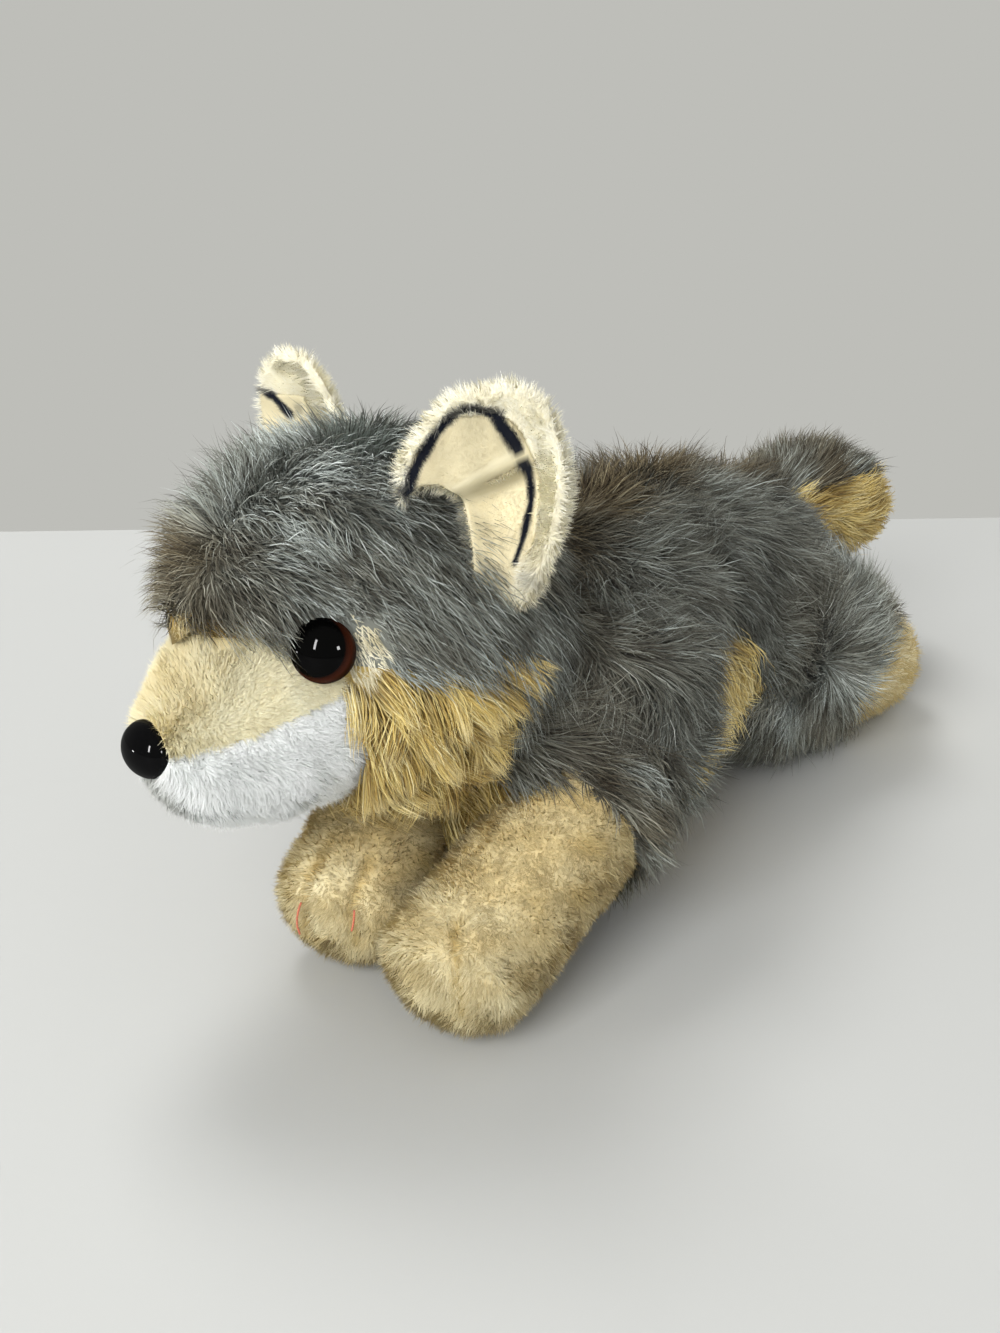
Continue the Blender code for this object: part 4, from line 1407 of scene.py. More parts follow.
    def build_muzzle(self) -> None:
        """The muzzle's skin with its beige top and white chin."""
        beige, white = self.finishes(BEIGE_PLUSH), self.finishes(WHITE_PLUSH)
        skin = skin_of("muzzle_skin", FORMS["muzzle"], inset=1.8, materials=[beige, white], around=72,
                       rings=60, shape=self.pinch_seam)
        shade_skin(skin, lambda p: np.where(self.is_chin(p), self.chin_shade(p), self.bridge_shade(p)))
        sort_faces(skin, self.is_chin)
        settle(skin, "beige_plush", "muzzle_top", "chin")
        top = Coat(
            "muzzle_top_pile",
            BEIGE_PLUSH,
            Pile(length=2.6, width=0.27, root_lift=50.0, tip_lift=30.0, spread=0.24, wander=30.0,
                 swirl=14.0, swirl_span=10.0, lock=0.07, curl=0.3, soft=0.76),
            count=40000,
            keep=lambda p: ~self.is_chin(p) & self.muzzle_air(p),
            comb=outward(self.snout, HEAD, 0.15),
            shade=self.bridge_shade,
            tone=0.68,
            tone_spread=0.13,
            seed=61,
        )
        top.grow(skin, None, beige)
        chin = Coat(
            "chin_pile",
            WHITE_PLUSH,
            Pile(length=2.8, width=0.27, root_lift=48.0, tip_lift=34.0, spread=0.24, wander=28.0,
                 swirl=24.0, swirl_span=10.0, lock=0.06, pull=0.45, curl=0.35, soft=0.8),
            count=31000,
            keep=lambda p: self.is_chin(p) & self.muzzle_air(p) & FORMS["body"].clears(p, -3.0),
            comb=outward((0.0, -60.0, -14.0), HEAD, 0.3),
            shade=self.chin_shade,
            tone=0.55,
            tone_spread=0.13,
            seed=71,
        )
        chin.grow(skin, None, white)

    def socket(self, at: tuple[float, float, float], way: Vector) -> Matrix:
        """The frame of a moulded piece that faces along way, in millimetres."""
        turn = way.to_track_quat("Z", "Y").to_matrix().to_4x4()
        return Matrix(HEAD.tolist()) @ Matrix.Translation(at) @ turn

    def dome(self, name: str, frame: Matrix, radius: float, height: float, squash: float,
             material: bpy.types.Material) -> bpy.types.Object:
        """A moulded dome with a rolled edge and a short skirt, turned on a lathe.

        Args:
            name: The piece's name.
            frame: Where it sits and how it is turned.
            radius: Half its width.
            height: How far it stands out.
            squash: Its height against its width.
            material: Its material.

        Returns:
            The new object.
        """
        mesh = bmesh.new()
        angles = [math.pi / 2 * step / 14 for step in range(15)]
        profile = [(radius * math.sin(angle), height * math.cos(angle)) for angle in angles]
        profile += [(radius * 0.985, -0.5), (radius * 0.94, -1.0), (radius * 0.5, -1.6), (0.0, -1.8)]
        verts = [mesh.verts.new((reach, 0.0, level)) for reach, level in profile]
        edges = [mesh.edges.new(pair) for pair in zip(verts, verts[1:])]
        bmesh.ops.spin(mesh, geom=verts + edges, axis=(0.0, 0.0, 1.0), cent=(0.0, 0.0, 0.0),
                       angle=2.0 * math.pi, steps=56, use_merge=True)
        bmesh.ops.remove_doubles(mesh, verts=mesh.verts, dist=0.0005)
        bmesh.ops.recalc_face_normals(mesh, faces=mesh.faces)
        place = mesh.verts.layers.float_vector.new("place")
        for vert in mesh.verts:
            vert[place] = vert.co
        bmesh.ops.scale(mesh, vec=(1.0, squash, 1.0), verts=mesh.verts)
        bmesh.ops.transform(mesh, matrix=frame, verts=mesh.verts)
        return keep_mesh(name, mesh, material)

    def mark_gloss(self, frame: Matrix, radius: float, height: float, squash: float,
                   at: tuple[float, float], size: tuple[float, float]) -> None:
        """Notes where a dome mirrors a small lamp.

        Args:
            frame: The dome's frame.
            radius: Half its width.
            height: How far it stands out.
            squash: Its height against its width.
            at: The place across and up its face.
            size: The lamp's width and height in metres.
        """
        across, up = at[0] / radius, at[1] / (radius * squash)
        level = math.sqrt(1.0 - across**2 - up**2)
        place = frame @ Vector((at[0], at[1], height * level))
        normal = frame.to_3x3() @ Vector((across / radius, up / (radius * squash), level / height))
        self.glosses.append(Gloss(np.array(place) * MM, np.array(normal.normalized()), size))

    def build_eyes(self) -> None:
        """Both eyes, with their lids' shadow line of cloth left to the pile."""
        gloss = self.finishes(EyeFinish())
        for side in Side:
            out, lift = math.radians(self.eye_out), math.radians(self.eye_lift)
            level = math.cos(lift)
            way = Vector((side.value * math.sin(out) * level, -math.cos(out) * level, math.sin(lift)))
            at = (side.value * self.eye_at[0], self.eye_at[1], self.eye_at[2])
            frame = self.socket(at, way)
            eye = self.dome(f"eye_{side.word}_gloss", frame, self.eye_radius, self.eye_dome, 1.0, gloss)
            settle(eye, "eye_plastic", f"eye_{side.word}")
            if side is Side.LEFT:
                self.mark_gloss(frame, self.eye_radius, self.eye_dome, 1.0, at=(-0.5, 2.2),
                                size=(0.09, 0.4))
                self.mark_gloss(frame, self.eye_radius, self.eye_dome, 1.0, at=(4.3, 0.9),
                                size=(0.14, 0.14))

    def build_nose(self) -> None:
        """The nose."""
        gloss = self.finishes(MouldedFinish("nose_gloss", paint(4, 4, 5), 0.5, 0.16, 0.0))
        frame = self.socket(self.nose_at, Vector((0.0, -1.0, 0.0)))
        squash = self.nose_half_height / self.nose_half_width
        nose = self.dome("nose_gloss", frame, self.nose_half_width, self.nose_dome, squash, gloss)
        settle(nose, "nose_plastic", "nose")
        self.mark_gloss(frame, self.nose_half_width, self.nose_dome, squash, at=(3.6, 0.8), size=(0.1, 0.4))

    def build(self) -> None:
        """Builds the whole head without its ears."""
        self.build_skull()
        self.build_muzzle()
        self.build_eyes()
        self.build_nose()


@dataclass
class Ear:
    """One ear: a plush back rolled round its edge, a short lining and the ink line on it."""

    finishes: Finishes
    side: Side
    rows: list[EarRow]
    facing: tuple[float, float, float]
    lines: list[list[tuple[float, float, float]]]
    smudges: list[tuple[float, float, float]]
    lined: tuple[tuple[float, float], tuple[float, float]]
    fold: tuple[float, float, float, float]
    hem: float = 0.07
    thickness: float = 2.2

    def __post_init__(self) -> None:
        """Sets smooth curves through the rows."""
        values = np.array([[*front, *rear, cup] for front, rear, cup in self.rows])
        self.table = SmoothTable(np.arange(len(self.rows), dtype=float), values)
        self.ahead = unit(np.array(self.facing))

    def surface(self, row: Array, share: Array, lift: float) -> Array:
        """Places on the ear's front.

        Args:
            row: Where along the rows.
            share: How far from the inner edge to the outer edge.
            lift: How far in front of the cloth.

        Returns:
            The places in the row's frame.
        """
        value, _ = self.table.at(row)
        height, start, stop, till = self.fold
        over = step_up(row, start, stop) * step_down(row, stop + 0.3, stop + 2.4)
        over = height * over * step_down(share, till - 0.1, till + 0.08)
        share = share[:, None]
        depth = value[:, 6:] * 4.0 * share * (1.0 - share)
        own = value[:, :3] * (1.0 - share) + value[:, 3:6] * share
        return moved(own - self.ahead * (depth - lift - over[:, None]), HEAD)

    def cloth(self, name: str, rows: tuple[float, float], shares: tuple[float, float], lift: float,
              thick: float, material: bpy.types.Material) -> bpy.types.Object:
        """One layer of the ear as a closed sheet with its rows and shares marked.

        Args:
            name: The piece's name.
            rows: Its first and last row.
            shares: Its first and last share of the ear's width.
            lift: How far it lies in front.
            thick: Its thickness.
            material: Its material.

        Returns:
            The new object.
        """
        mesh = bmesh.new()
        bmesh.ops.create_grid(mesh, x_segments=26, y_segments=38, size=0.5)
        flat = np.array([vert.co for vert in mesh.verts]) + 0.5
        share = shares[0] + (shares[1] - shares[0]) * flat[:, 0]
        row = rows[0] + (rows[1] - rows[0]) * flat[:, 1]
        places = self.surface(row, share, lift)
        mark = mesh.verts.layers.float_vector.new("weft")
        for vert, place, down, across in zip(mesh.verts, places, row, share):
            vert.co = place
            vert[mark] = (down, across, 0.0)
        ahead = Vector(self.ahead @ HEAD[:3, :3].T)
        mesh.normal_update()
        if sum((face.normal.dot(ahead) for face in mesh.faces)) < 0.0:
            bmesh.ops.reverse_faces(mesh, faces=mesh.faces)
        bmesh.ops.solidify(mesh, geom=mesh.faces, thickness=thick)
        bmesh.ops.recalc_face_normals(mesh, faces=mesh.faces)
        for _ in range(2):
            bmesh.ops.smooth_vert(mesh, verts=mesh.verts, factor=0.5, use_axis_x=True, use_axis_y=True,
                                  use_axis_z=True)
        return keep_mesh(name, mesh, material)

    def marked(self, piece: bpy.types.Object, points: Array) -> Array:
        """Reads the row and share of the cloth nearest to each place."""
        own, _ = places_of(piece.data)
        wefts = np.empty(len(own) * 3, dtype=np.float32)
        piece.data.attributes["weft"].data.foreach_get("vector", wefts)
        wefts = wefts.reshape(-1, 3)
        tree = tree_of(own)
        result = np.empty((len(points), 2))
        for index, point in enumerate(points):
            near = tree.find_n(point, 3)
            weight = np.array([1.0 / (distance + 0.05) for _, _, distance in near])
            nearest = wefts[[spot for _, spot, _ in near], :2]
            result[index] = (nearest * weight[:, None]).sum(axis=0) / weight.sum()
        return result

    def ink_at(self, points: Array) -> Array:
        """How much ink each place on the ear's front carries."""
        ahead = self.ahead @ HEAD[:3, :3].T
        ink = np.zeros(len(points))
        for line in self.lines:
            course = np.array(line)
            steps = np.linspace(0.0, len(course) - 1.0, 40 * len(course))
            track = SmoothTable(np.arange(len(course), dtype=float), course).at(steps)[0]
            spine = self.surface(track[:, 0], track[:, 1], 0.5)
            reach = track[:, 2] + 0.16 * np.sin(steps * 5.0)
            for centre, half in zip(spine, reach):
                away = points - centre
                depth = away @ ahead
                away -= 0.7 * depth[:, None] * ahead
                gap = np.linalg.norm(away, axis=1) + 4.0 * step_up(-depth, 1.2, 1.9)
                ink = np.maximum(ink, step_down(gap, half * 0.55, half * 1.1 + 0.15))
        for down, across, half in self.smudges:
            centre = self.surface(np.array([down]), np.array([across]), 0.0)[0]
            gap = np.linalg.norm(points - centre, axis=1)
            ink = np.maximum(ink, 0.45 * step_down(gap, half * 0.3, half))
        return ink

    def painted_root_shade(self, points: Array) -> Array:
        """Painted shade: the ear's cloth is darker and yellower near its root, by the head."""
        root = self.surface(np.array([0.4]), np.array([0.5]), 0.0)[0]
        return 0.3 * step_down(np.linalg.norm(points - root, axis=1), 6.0, 24.0)

    def lining_painted_shade(self, lining: bpy.types.Object, points: Array) -> Array:
        """Painted shade: darker on the forward flap of the lining, and a painted shadow under its crease.
        """
        height, start, stop, _ = self.fold
        row = self.marked(lining, points)[:, 0]
        # painted shade on the flap that folds forward, and a painted shadow just under its crease
        flap = 0.6 * step_up(row, stop, stop + 0.5) + bell(row - start + 0.1, 0.3)
        # an ear with no fold takes the same shade all over its lining
        if height == 0.0:
            flap = np.full(len(points), 0.3)
        return np.clip(self.painted_root_shade(points) + flap + 0.1 * drift(points, 9.0, 86), 0.0, 1.0)

    def dye(self, sheet: bpy.types.Object, shade: Field) -> None:
        """Writes a sheet's own shade and ink to it."""
        spots, _ = places_of(sheet.data)
        values = np.tile(SHEET_CHANNELS, (len(spots), 1))
        values[:, 2] = shade(spots)
        values[:, 3] = self.ink_at(spots)
        mark_pile(sheet.data, values)

    def clear(self, points: Array) -> Array:
        """Tells which places are outside the head's fur."""
        return FORMS["head"].clears(points, -4.0)

    def build(self) -> None:
        """Builds the ear."""
        plush, velboa = self.finishes(CREAM_PLUSH), self.finishes(CREAM_VELBOA)
        word = self.side.word
        last = len(self.rows) - 1.0
        back = self.cloth(f"ear_{word}_plush", (0.35, last - 0.15), (self.hem, 1.02 - self.hem), -0.6,
                          self.thickness, plush)
        self.dye(back, lambda p: np.zeros(len(p)))
        settle(back, "cream_plush", f"ear_{word}_back")
        lining = self.cloth(f"ear_{word}_velboa", *self.lined, 0.4, 0.8, velboa)
        # the lining carries painted shade on its flap, under its crease and near its root
        self.dye(lining, lambda p: self.lining_painted_shade(lining, p))
        settle(lining, "cream_velboa", f"ear_{word}_lining")
        ahead = self.ahead @ HEAD[:3, :3].T
        heart = self.surface(np.array([3.0]), np.array([0.5]), 0.0)[0]
        (row_from, row_to), (share_from, share_to) = self.lined

        def comb(points: Array) -> Array:
            """Combs the ear outward from its middle, and a little forward."""
            return unit(points - heart) + 0.3 * ahead

        def rim_or_back(points: Array) -> Array:
            """Tells which places of the back cloth the lining leaves open."""
            weft = self.marked(back, points)
            inner = (weft[:, 0] > row_from) & (weft[:, 0] < row_to)
            inner &= (weft[:, 1] > share_from) & (weft[:, 1] < share_to)
            front = ((points - self.surface(weft[:, 0], weft[:, 1], -0.6)) @ ahead) > -1.2
            return ~(inner & front) & self.clear(points)

        def off_fold(points: Array) -> Array:
            """Tells which places of the lining are outside the tip's fold."""
            weft = self.marked(lining, points)
            height, start, stop, till = self.fold
            under = (weft[:, 0] > start - 0.4) & (weft[:, 0] < stop + 0.3) & (weft[:, 1] < till + 0.1)
            return ~(under & (height > 0.0)) & self.clear(points)

        rim = Coat(
            f"ear_{word}_plush_pile",
            CREAM_PLUSH,
            Pile(length=2.9, width=0.27, root_lift=52.0, tip_lift=36.0, spread=0.22, wander=34.0,
                 swirl=30.0, swirl_span=10.0, lock=0.045, pull=0.5, curl=0.35, soft=0.7),
            count=22000 if self.side is Side.LEFT else 15000,
            keep=rim_or_back,
            comb=comb,
            ink=lambda p: 0.9 * self.ink_at(p),
            # painted shade near the ear's root, with random mottling
            shade=lambda p: np.clip(self.painted_root_shade(p) + 0.12 * drift(p, 8.0, 81), 0.0, 1.0),
            tone=0.55,
            seed=83 + int(self.side.value),
        )
        rim.grow(back, None, plush)
        nap = Coat(
            f"ear_{word}_velboa_pile",
            CREAM_VELBOA,
            Pile(length=0.9, width=0.22, root_lift=40.0, tip_lift=36.0, wander=30.0, swirl=20.0, pull=0.0,
                 curl=0.1, soft=0.85),
            count=13000 if self.side is Side.LEFT else 6000,
            keep=off_fold,
            comb=comb,
            ink=self.ink_at,
            shade=lambda p: self.lining_painted_shade(lining, p),
            tone_spread=0.1,
            seed=91 + int(self.side.value),
        )
        nap.grow(lining, None, velboa)


@dataclass
class Body:
    """The body: both backs and the belly with its chest."""

    finishes: Finishes
    edge_at: tuple[float, ...] = (-78.0, -66.0, -36.0, -24.0, -8.0, 10.0, 36.0, 84.0)
    edge: tuple[float, ...] = (64.0, 12.0, 12.0, 46.0, 72.0, 70.0, 44.0, 24.0)

    def is_belly(self, points: Array) -> Array:
        """Tells which places are under the belly seam."""
        line = np.interp(points[:, 1], self.edge_at, self.edge)
        return points[:, 2] + 1.5 * drift(points, 9.0, 101) < line

    def open_air(self, points: Array) -> Array:
        """Tells which places of the body's skin can be seen."""
        free = points[:, 2] > 2.5
        for name, margin in (("head", -8.0), ("muzzle", -4.0), ("tail", -7.0), ("hindleg_left", -7.0),
                             ("hindleg_right", -7.0), ("foreleg_left", -4.0), ("foreleg_right", -4.0)):
            free &= FORMS[name].clears(points, margin)
        return free

    def back_shade(self, points: Array) -> Array:
        """A dark brown stripe runs down the spine, and the neck and flanks are darker."""
        top = step_up(points[:, 2], 62.0, 92.0)
        stripe = bell(points[:, 0] + 2.0 * np.sin(points[:, 1] / 18.0), 11.0) * top
        low = step_down(points[:, 2], 14.0, 34.0)
        neck = step_down(points[:, 1], -58.0, -34.0)
        total = 0.95 * stripe + 0.35 * low + 0.3 * neck + 0.14 * drift(points, 24.0, 103)
        return np.clip(total, 0.0, 1.0)

    def belly_shade(self, points: Array) -> Array:
        """The chest is browner than the belly."""
        chest = step_down(points[:, 1], -60.0, -30.0)
        return np.clip(0.75 * chest + 0.3 * drift(points, 9.0, 104), 0.0, 1.0)

    def comb_back(self, points: Array) -> Array:
        """Combs the fur down from the spine and back, and more backwards toward the rump."""
        low = step_down(points[:, 2], 18.0, 60.0)
        rear = step_up(points[:, 1], 20.0, 90.0)
        way = np.zeros((len(points), 3))
        way[:, 0] = np.sign(points[:, 0]) * 0.5
        way[:, 1] = 0.25 + 0.35 * low + 0.9 * rear
        way[:, 2] = -1.0 + 0.3 * low + 0.3 * rear
        return way

    def back_size(self, points: Array) -> Array:
        """The fur is longest along the spine and shortest over the raised belly."""
        top = step_up(points[:, 2], 80.0, 100.0)
        tuck = bell(points[:, 1] - 4.0, 22.0) * step_down(points[:, 2], 64.0, 84.0)
        return (1.0 + 0.12 * drift(points, 20.0, 105)) * (1.0 + 0.1 * top) * (1.0 - 0.65 * tuck)

    def back_rise(self, points: Array) -> Array:
        """The fur stands up along the spine."""
        return 6.0 * step_up(points[:, 2], 84.0, 102.0) + 6.0 * drift(points, 22.0, 106)

    def build(self) -> None:
        """Builds the body."""
        brindle, tan = self.finishes(GREY_FUR), self.finishes(TAN_FUR)
        form = FORMS["body"]
        skin = skin_of("body_skin", form, inset=4.6, materials=[brindle, tan], around=72, rings=64)
        shade_skin(skin, self.back_shade)
        sort_faces(skin, self.is_belly)
        settle(skin, "grey_fur", "back_fur_left", "back_fur_right", "belly_chest_fur", "body_stuffing")
        for side in Side:
            back = Coat(
                f"back_fur_{side.word}_pile",
                GREY_FUR,
                Pile(length=14.0, width=0.32, root_lift=50.0, tip_lift=22.0, bends=3, wander=20.0,
                     swirl=34.0, swirl_span=24.0, lock=0.07, pull=0.42, curl=1.0),
                count=32000 if side is Side.LEFT else 15000,
                keep=lambda p, s=side.value: ~self.is_belly(p) & self.open_air(p) & (p[:, 0] * s > -0.6),
                comb=self.comb_back,
                size=self.back_size,
                rise=self.back_rise,
                shade=self.back_shade,
                tone=0.25,
                tone_spread=0.18,
                guard=0.025,
                seed=111 + int(side.value),
            )
            back.grow(skin, form, brindle)
        belly = Coat(
            "belly_chest_fur_pile",
            TAN_FUR,
            Pile(length=14.0, width=0.36, root_lift=38.0, tip_lift=8.0, bends=3, wander=12.0, swirl=20.0,
                 swirl_span=16.0, lock=0.014, pull=0.7, droop=0.2),
            count=9000,
            keep=lambda p: self.is_belly(p) & self.open_air(p),
            comb=toward(0.0, 0.5, -1.0),
            size=lambda p: 1.0 - 0.4 * step_up(p[:, 1], -30.0, 0.0) * step_down(p[:, 2], 30.0, 60.0),
            shade=self.belly_shade,
            tone=0.6,
            tone_spread=0.22,
            guard=0.01,
            seed=121,
        )
        belly.grow(skin, form, tan)


@dataclass
class Tail:
    """The tail: grey on top and tan underneath."""

    finishes: Finishes
    roll: float = -24.0
    root: tuple[float, float, float] = (4.0, 125.0, 63.5)
    seam_at: tuple[float, ...] = (96.0, 103.0, 113.0, 136.0)
    seam: tuple[float, ...] = (6.0, 7.0, 4.5, 1.0)

    def is_under(self, points: Array) -> Array:
        """Tells which places are under the tail's side seams."""
        roll = math.radians(self.roll)
        up = np.array([math.sin(roll), 0.0, math.cos(roll)])
        rise = np.interp(points[:, 1], self.seam_at, self.seam)
        return (points - self.root) @ up + 1.2 * drift(points, 8.0, 131) < rise

    def build(self) -> None:
        """Builds the tail."""
        brindle, tan = self.finishes(GREY_FUR), self.finishes(TAN_FUR)
        form = FORMS["tail"]
        skin = skin_of("tail_skin", form, inset=4.6, materials=[brindle, tan], around=40, rings=36)
        sort_faces(skin, self.is_under)
        settle(skin, "grey_fur", "tail_top_fur", "tail_under_fur", "tail_stuffing")
        for name, finish, chosen, count, length, lift in (
            ("tail_top_fur_pile", GREY_FUR, False, 5500, 14.5, 24.0),
            ("tail_under_fur_pile", TAN_FUR, True, 6000, 12.0, 4.0),
        ):
            coat = Coat(
                name,
                finish,
                Pile(length=length, width=0.34, root_lift=46.0, tip_lift=lift, bends=3, wander=12.0,
                     swirl=18.0, lock=0.04, pull=0.45, curl=0.9),
                count=count,
                keep=lambda p, c=chosen: (self.is_under(p) == c) & FORMS["body"].clears(p, -5.0),
                comb=toward(0.12, 1.0, -0.12),
                size=lambda p: 1.0 - 0.5 * step_up(p[:, 1], 138.0, 172.0),
                shade=mottled(0.45, 0.25, 14.0, 133),
                tone=0.55 if chosen else 0.2,
                guard=0.02,
                seed=135 + count,
            )
            coat.grow(skin, form, self.finishes(finish))


@dataclass
class Foreleg:
    """One foreleg in beige plush, with its toes stitched in."""

    finishes: Finishes
    side: Side
    shoulder: float = 32.0
    stitch_reach: float = 1.3

    @property
    def form(self) -> Form:
        """The leg's form."""
        return FORMS[f"foreleg_{self.side.word}"]

    @property
    def toe_lines(self) -> tuple[tuple[float, float], ...]:
        """Where the toe lines start and end across the paw."""
        return ((-4.5, -13.0),) if self.side is Side.LEFT else ((-7.8, -8.0), (3.6, 5.1))

    def toes(self, points: Array) -> Array:
        """How deep each place is drawn in by the toe stitches."""
        own = self.form.local(points)
        stop = self.form.ends[1]
        near = step_up(own[:, 1], stop - 24.0, stop - 14.0) * step_up(own[:, 2], -8.0, 0.0)
        draw = np.zeros(len(points))
        for start, end in self.toe_lines:
            line = np.interp(own[:, 1], (stop - 16.0, stop - 3.0), (start, end))
            draw = np.maximum(draw, bell(own[:, 0] - line, self.stitch_reach))
        return draw * near

    def long_seam(self, points: Array) -> Array:
        """How near each place is to the seam along the leg's upper side."""
        own = self.form.local(points)
        line = np.interp(own[:, 1], (36.0, 62.0), (8.0, 4.0))
        fades = step_down(own[:, 1], 58.0, 72.0)
        return bell(own[:, 0] - line, self.stitch_reach) * (own[:, 2] > 0.0) * fades

    def shape(self, points: Array) -> Array:
        """Draws the toes in and pulls the long seam in."""
        depth = 1.5 * self.toes(points) + 1.0 * self.long_seam(points)
        return points - self.form.normals(points) * depth[:, None]

    def shade(self, points: Array) -> Array:
        """Mottled all over, paler on the paw, and painted shade in the toe creases and the long seam."""
        # painted shade in the creases that the toe stitches and the long seam pull in
        lines = 0.7 * self.toes(points) + 0.3 * self.long_seam(points)
        paw = 0.3 * step_up(-points[:, 1], 96.0, 112.0)
        return np.clip(0.5 - paw + 0.14 * drift(points, 9.0, 141) + lines, 0.0, 1.0)

    def under_fur(self, points: Array) -> Array:
        """Tells which places are so high on the leg that the shoulder's fur covers them."""
        own = self.form.local(points)
        line = self.shoulder + 2.0 * drift(points, 12.0, 142)
        return own[:, 1] < line

    def open_air(self, points: Array) -> Array:
        """Tells which places of the leg can be seen."""
        free = (points[:, 2] > 1.2) & FORMS["body"].clears(points, -3.0)
        other = "foreleg_right" if self.side is Side.LEFT else "foreleg_left"
        return free & FORMS[other].clears(points, -2.0)

    def build(self) -> None:
        """Builds the leg."""
        beige, brindle = self.finishes(BEIGE_PLUSH), self.finishes(GREY_FUR)
        word = self.side.word
        skin = skin_of(f"foreleg_{word}_skin", self.form, inset=1.7, materials=[beige, brindle], around=72,
                       rings=60, shape=self.shape)
        shade_skin(skin, self.shade)
        sort_faces(skin, self.under_fur)
        nodes = [f"foreleg_{word}_{part}" for part in ("outer", "inner", "stuffing")]
        settle(skin, "beige_plush", *nodes)
        coat = Coat(
            f"foreleg_{word}_pile",
            BEIGE_PLUSH,
            Pile(length=2.6, width=0.28, root_lift=50.0, tip_lift=40.0, spread=0.24, wander=60.0,
                 swirl=20.0, swirl_span=9.0, curl=0.35, soft=0.76),
            count=47000 if self.side is Side.LEFT else 30000,
            keep=lambda p: self.open_air(p) & ~self.under_fur(p),
            comb=toward(0.0, -1.0, -0.5),
            size=lambda p: 1.0 + 0.35 * step_up(-p[:, 1], 106.0, 118.0),
            shade=self.shade,
            # painted shade: the far foreleg is given a slightly lower tone, as it stands on the shadow side
            tone=0.2 if self.side is Side.LEFT else 0.17,
            tone_spread=0.1,
            seed=145 + int(self.side.value),
        )
        coat.grow(skin, None, beige)
        cover = Coat(
            f"shoulder_fur_{word}_pile",
            GREY_FUR,
            Pile(length=10.0, width=0.34, root_lift=52.0, tip_lift=30.0, bends=3, wander=22.0, swirl=30.0,
                 lock=0.07, curl=0.9),
            count=2600,
            keep=lambda p: self.open_air(p) & self.under_fur(p),
            comb=toward(self.side.value * 0.5, -0.1, -1.0),
            shade=mottled(0.45, 0.2, 14.0, 143),
            tone=0.36,
            guard=0.02,
            seed=149 + int(self.side.value),
        )
        cover.grow(skin, self.form, brindle)


@dataclass
class HindLeg:
    """One hind leg: a grey fur sleeve and a beige foot."""

    finishes: Finishes
    side: Side
    foot_at: tuple[float, float] = (41.0, 93.0)
    foot_slant: float = 60.0
    whorl: tuple[float, float, float] = (50.0, 62.0, 38.0)

    @property
    def form(self) -> Form:
        """The leg's form."""
        return FORMS[f"hindleg_{self.side.word}"]

    @property
    def heart(self) -> tuple[float, float, float]:
        """The whorl on the leg's own side."""
        return (self.side.value * self.whorl[0], self.whorl[1], self.whorl[2])

    def past_seam(self, points: Array) -> Array:
        """How far each place is beyond the foot's slanted seam."""
        slant = math.radians(self.foot_slant)
        out = (points[:, 0] * self.side.value - self.foot_at[0]) * math.sin(slant)
        back = (points[:, 1] - self.foot_at[1]) * math.cos(slant)
        return out + back - 0.7 * np.maximum(points[:, 2] - 24.0, 0.0) + 0.8 * drift(points, 8.0, 151)

    def is_foot(self, points: Array) -> Array:
        """Tells which places are on the foot."""
        return self.past_seam(points) > 0.0

    def open_air(self, points: Array) -> Array:
        """Tells which places of the leg can be seen."""
        free = (points[:, 2] > 2.0) & FORMS["body"].clears(points, -7.0)
        return free & FORMS["tail"].clears(points, -5.0)

    def whorl_rise(self, points: Array) -> Array:
        """The sleeve's pile stands up at its whorl."""
        return 12.0 * bell(np.linalg.norm(points - self.heart, axis=1), 12.0)

    def build(self) -> None:
        """Builds the leg."""
        brindle, beige = self.finishes(GREY_FUR), self.finishes(BEIGE_PLUSH)
        word = self.side.word
        form = self.form

        def depth(points: Array) -> Array:
            """Presses the skin in under the sleeve's longer fur."""
            sleeve = step_down(self.past_seam(points), -4.0, 1.0)
            return points - form.normals(points) * (2.6 * sleeve)[:, None]

        skin = skin_of(f"hind_leg_{word}_skin", form, inset=2.0, materials=[brindle, beige], around=52,
                       rings=44, shape=depth)
        sort_faces(skin, self.is_foot)
        nodes = [f"hind_leg_{word}_fur", f"hind_foot_{word}", f"hind_leg_{word}_stuffing"]
        settle(skin, "grey_fur", *nodes)
        sleeve = Coat(
            f"hind_leg_{word}_fur_pile",
            GREY_FUR,
            Pile(length=13.0, width=0.34, root_lift=54.0, tip_lift=22.0, bends=3, wander=20.0, swirl=24.0,
                 lock=0.07, curl=1.0),
            count=12000 if self.side is Side.LEFT else 5500,
            keep=lambda p: (self.past_seam(p) < 1.0) & self.open_air(p),
            comb=outward(self.heart, np.eye(4), 0.1),
            size=lambda p: 1.0 - 0.25 * step_up(self.past_seam(p), -12.0, 0.0),
            rise=self.whorl_rise,
            shade=mottled(0.25, 0.2, 16.0, 153),
            tone=0.43,
            guard=0.025,
            seed=155 + int(self.side.value),
        )
        sleeve.grow(skin, form, brindle)
        foot = Coat(
            f"hind_foot_{word}_pile",
            BEIGE_PLUSH,
            Pile(length=2.8, width=0.28, root_lift=48.0, tip_lift=34.0, spread=0.22, wander=40.0,
                 swirl=40.0, swirl_span=10.0, curl=0.35, soft=0.8),
            count=6500,
            keep=lambda p: self.is_foot(p) & (p[:, 2] > 1.2),
            comb=toward(0.2 * self.side.value, 1.0, -0.3),
            # painted shade: the foot's plush mostly takes the shaded tones, as the foot lies in shadow
            shade=mottled(0.8, 0.1, 9.0, 154),
            tone=0.28,
            tone_spread=0.08,
            seed=165 + int(self.side.value),
        )
        foot.grow(skin, None, beige)


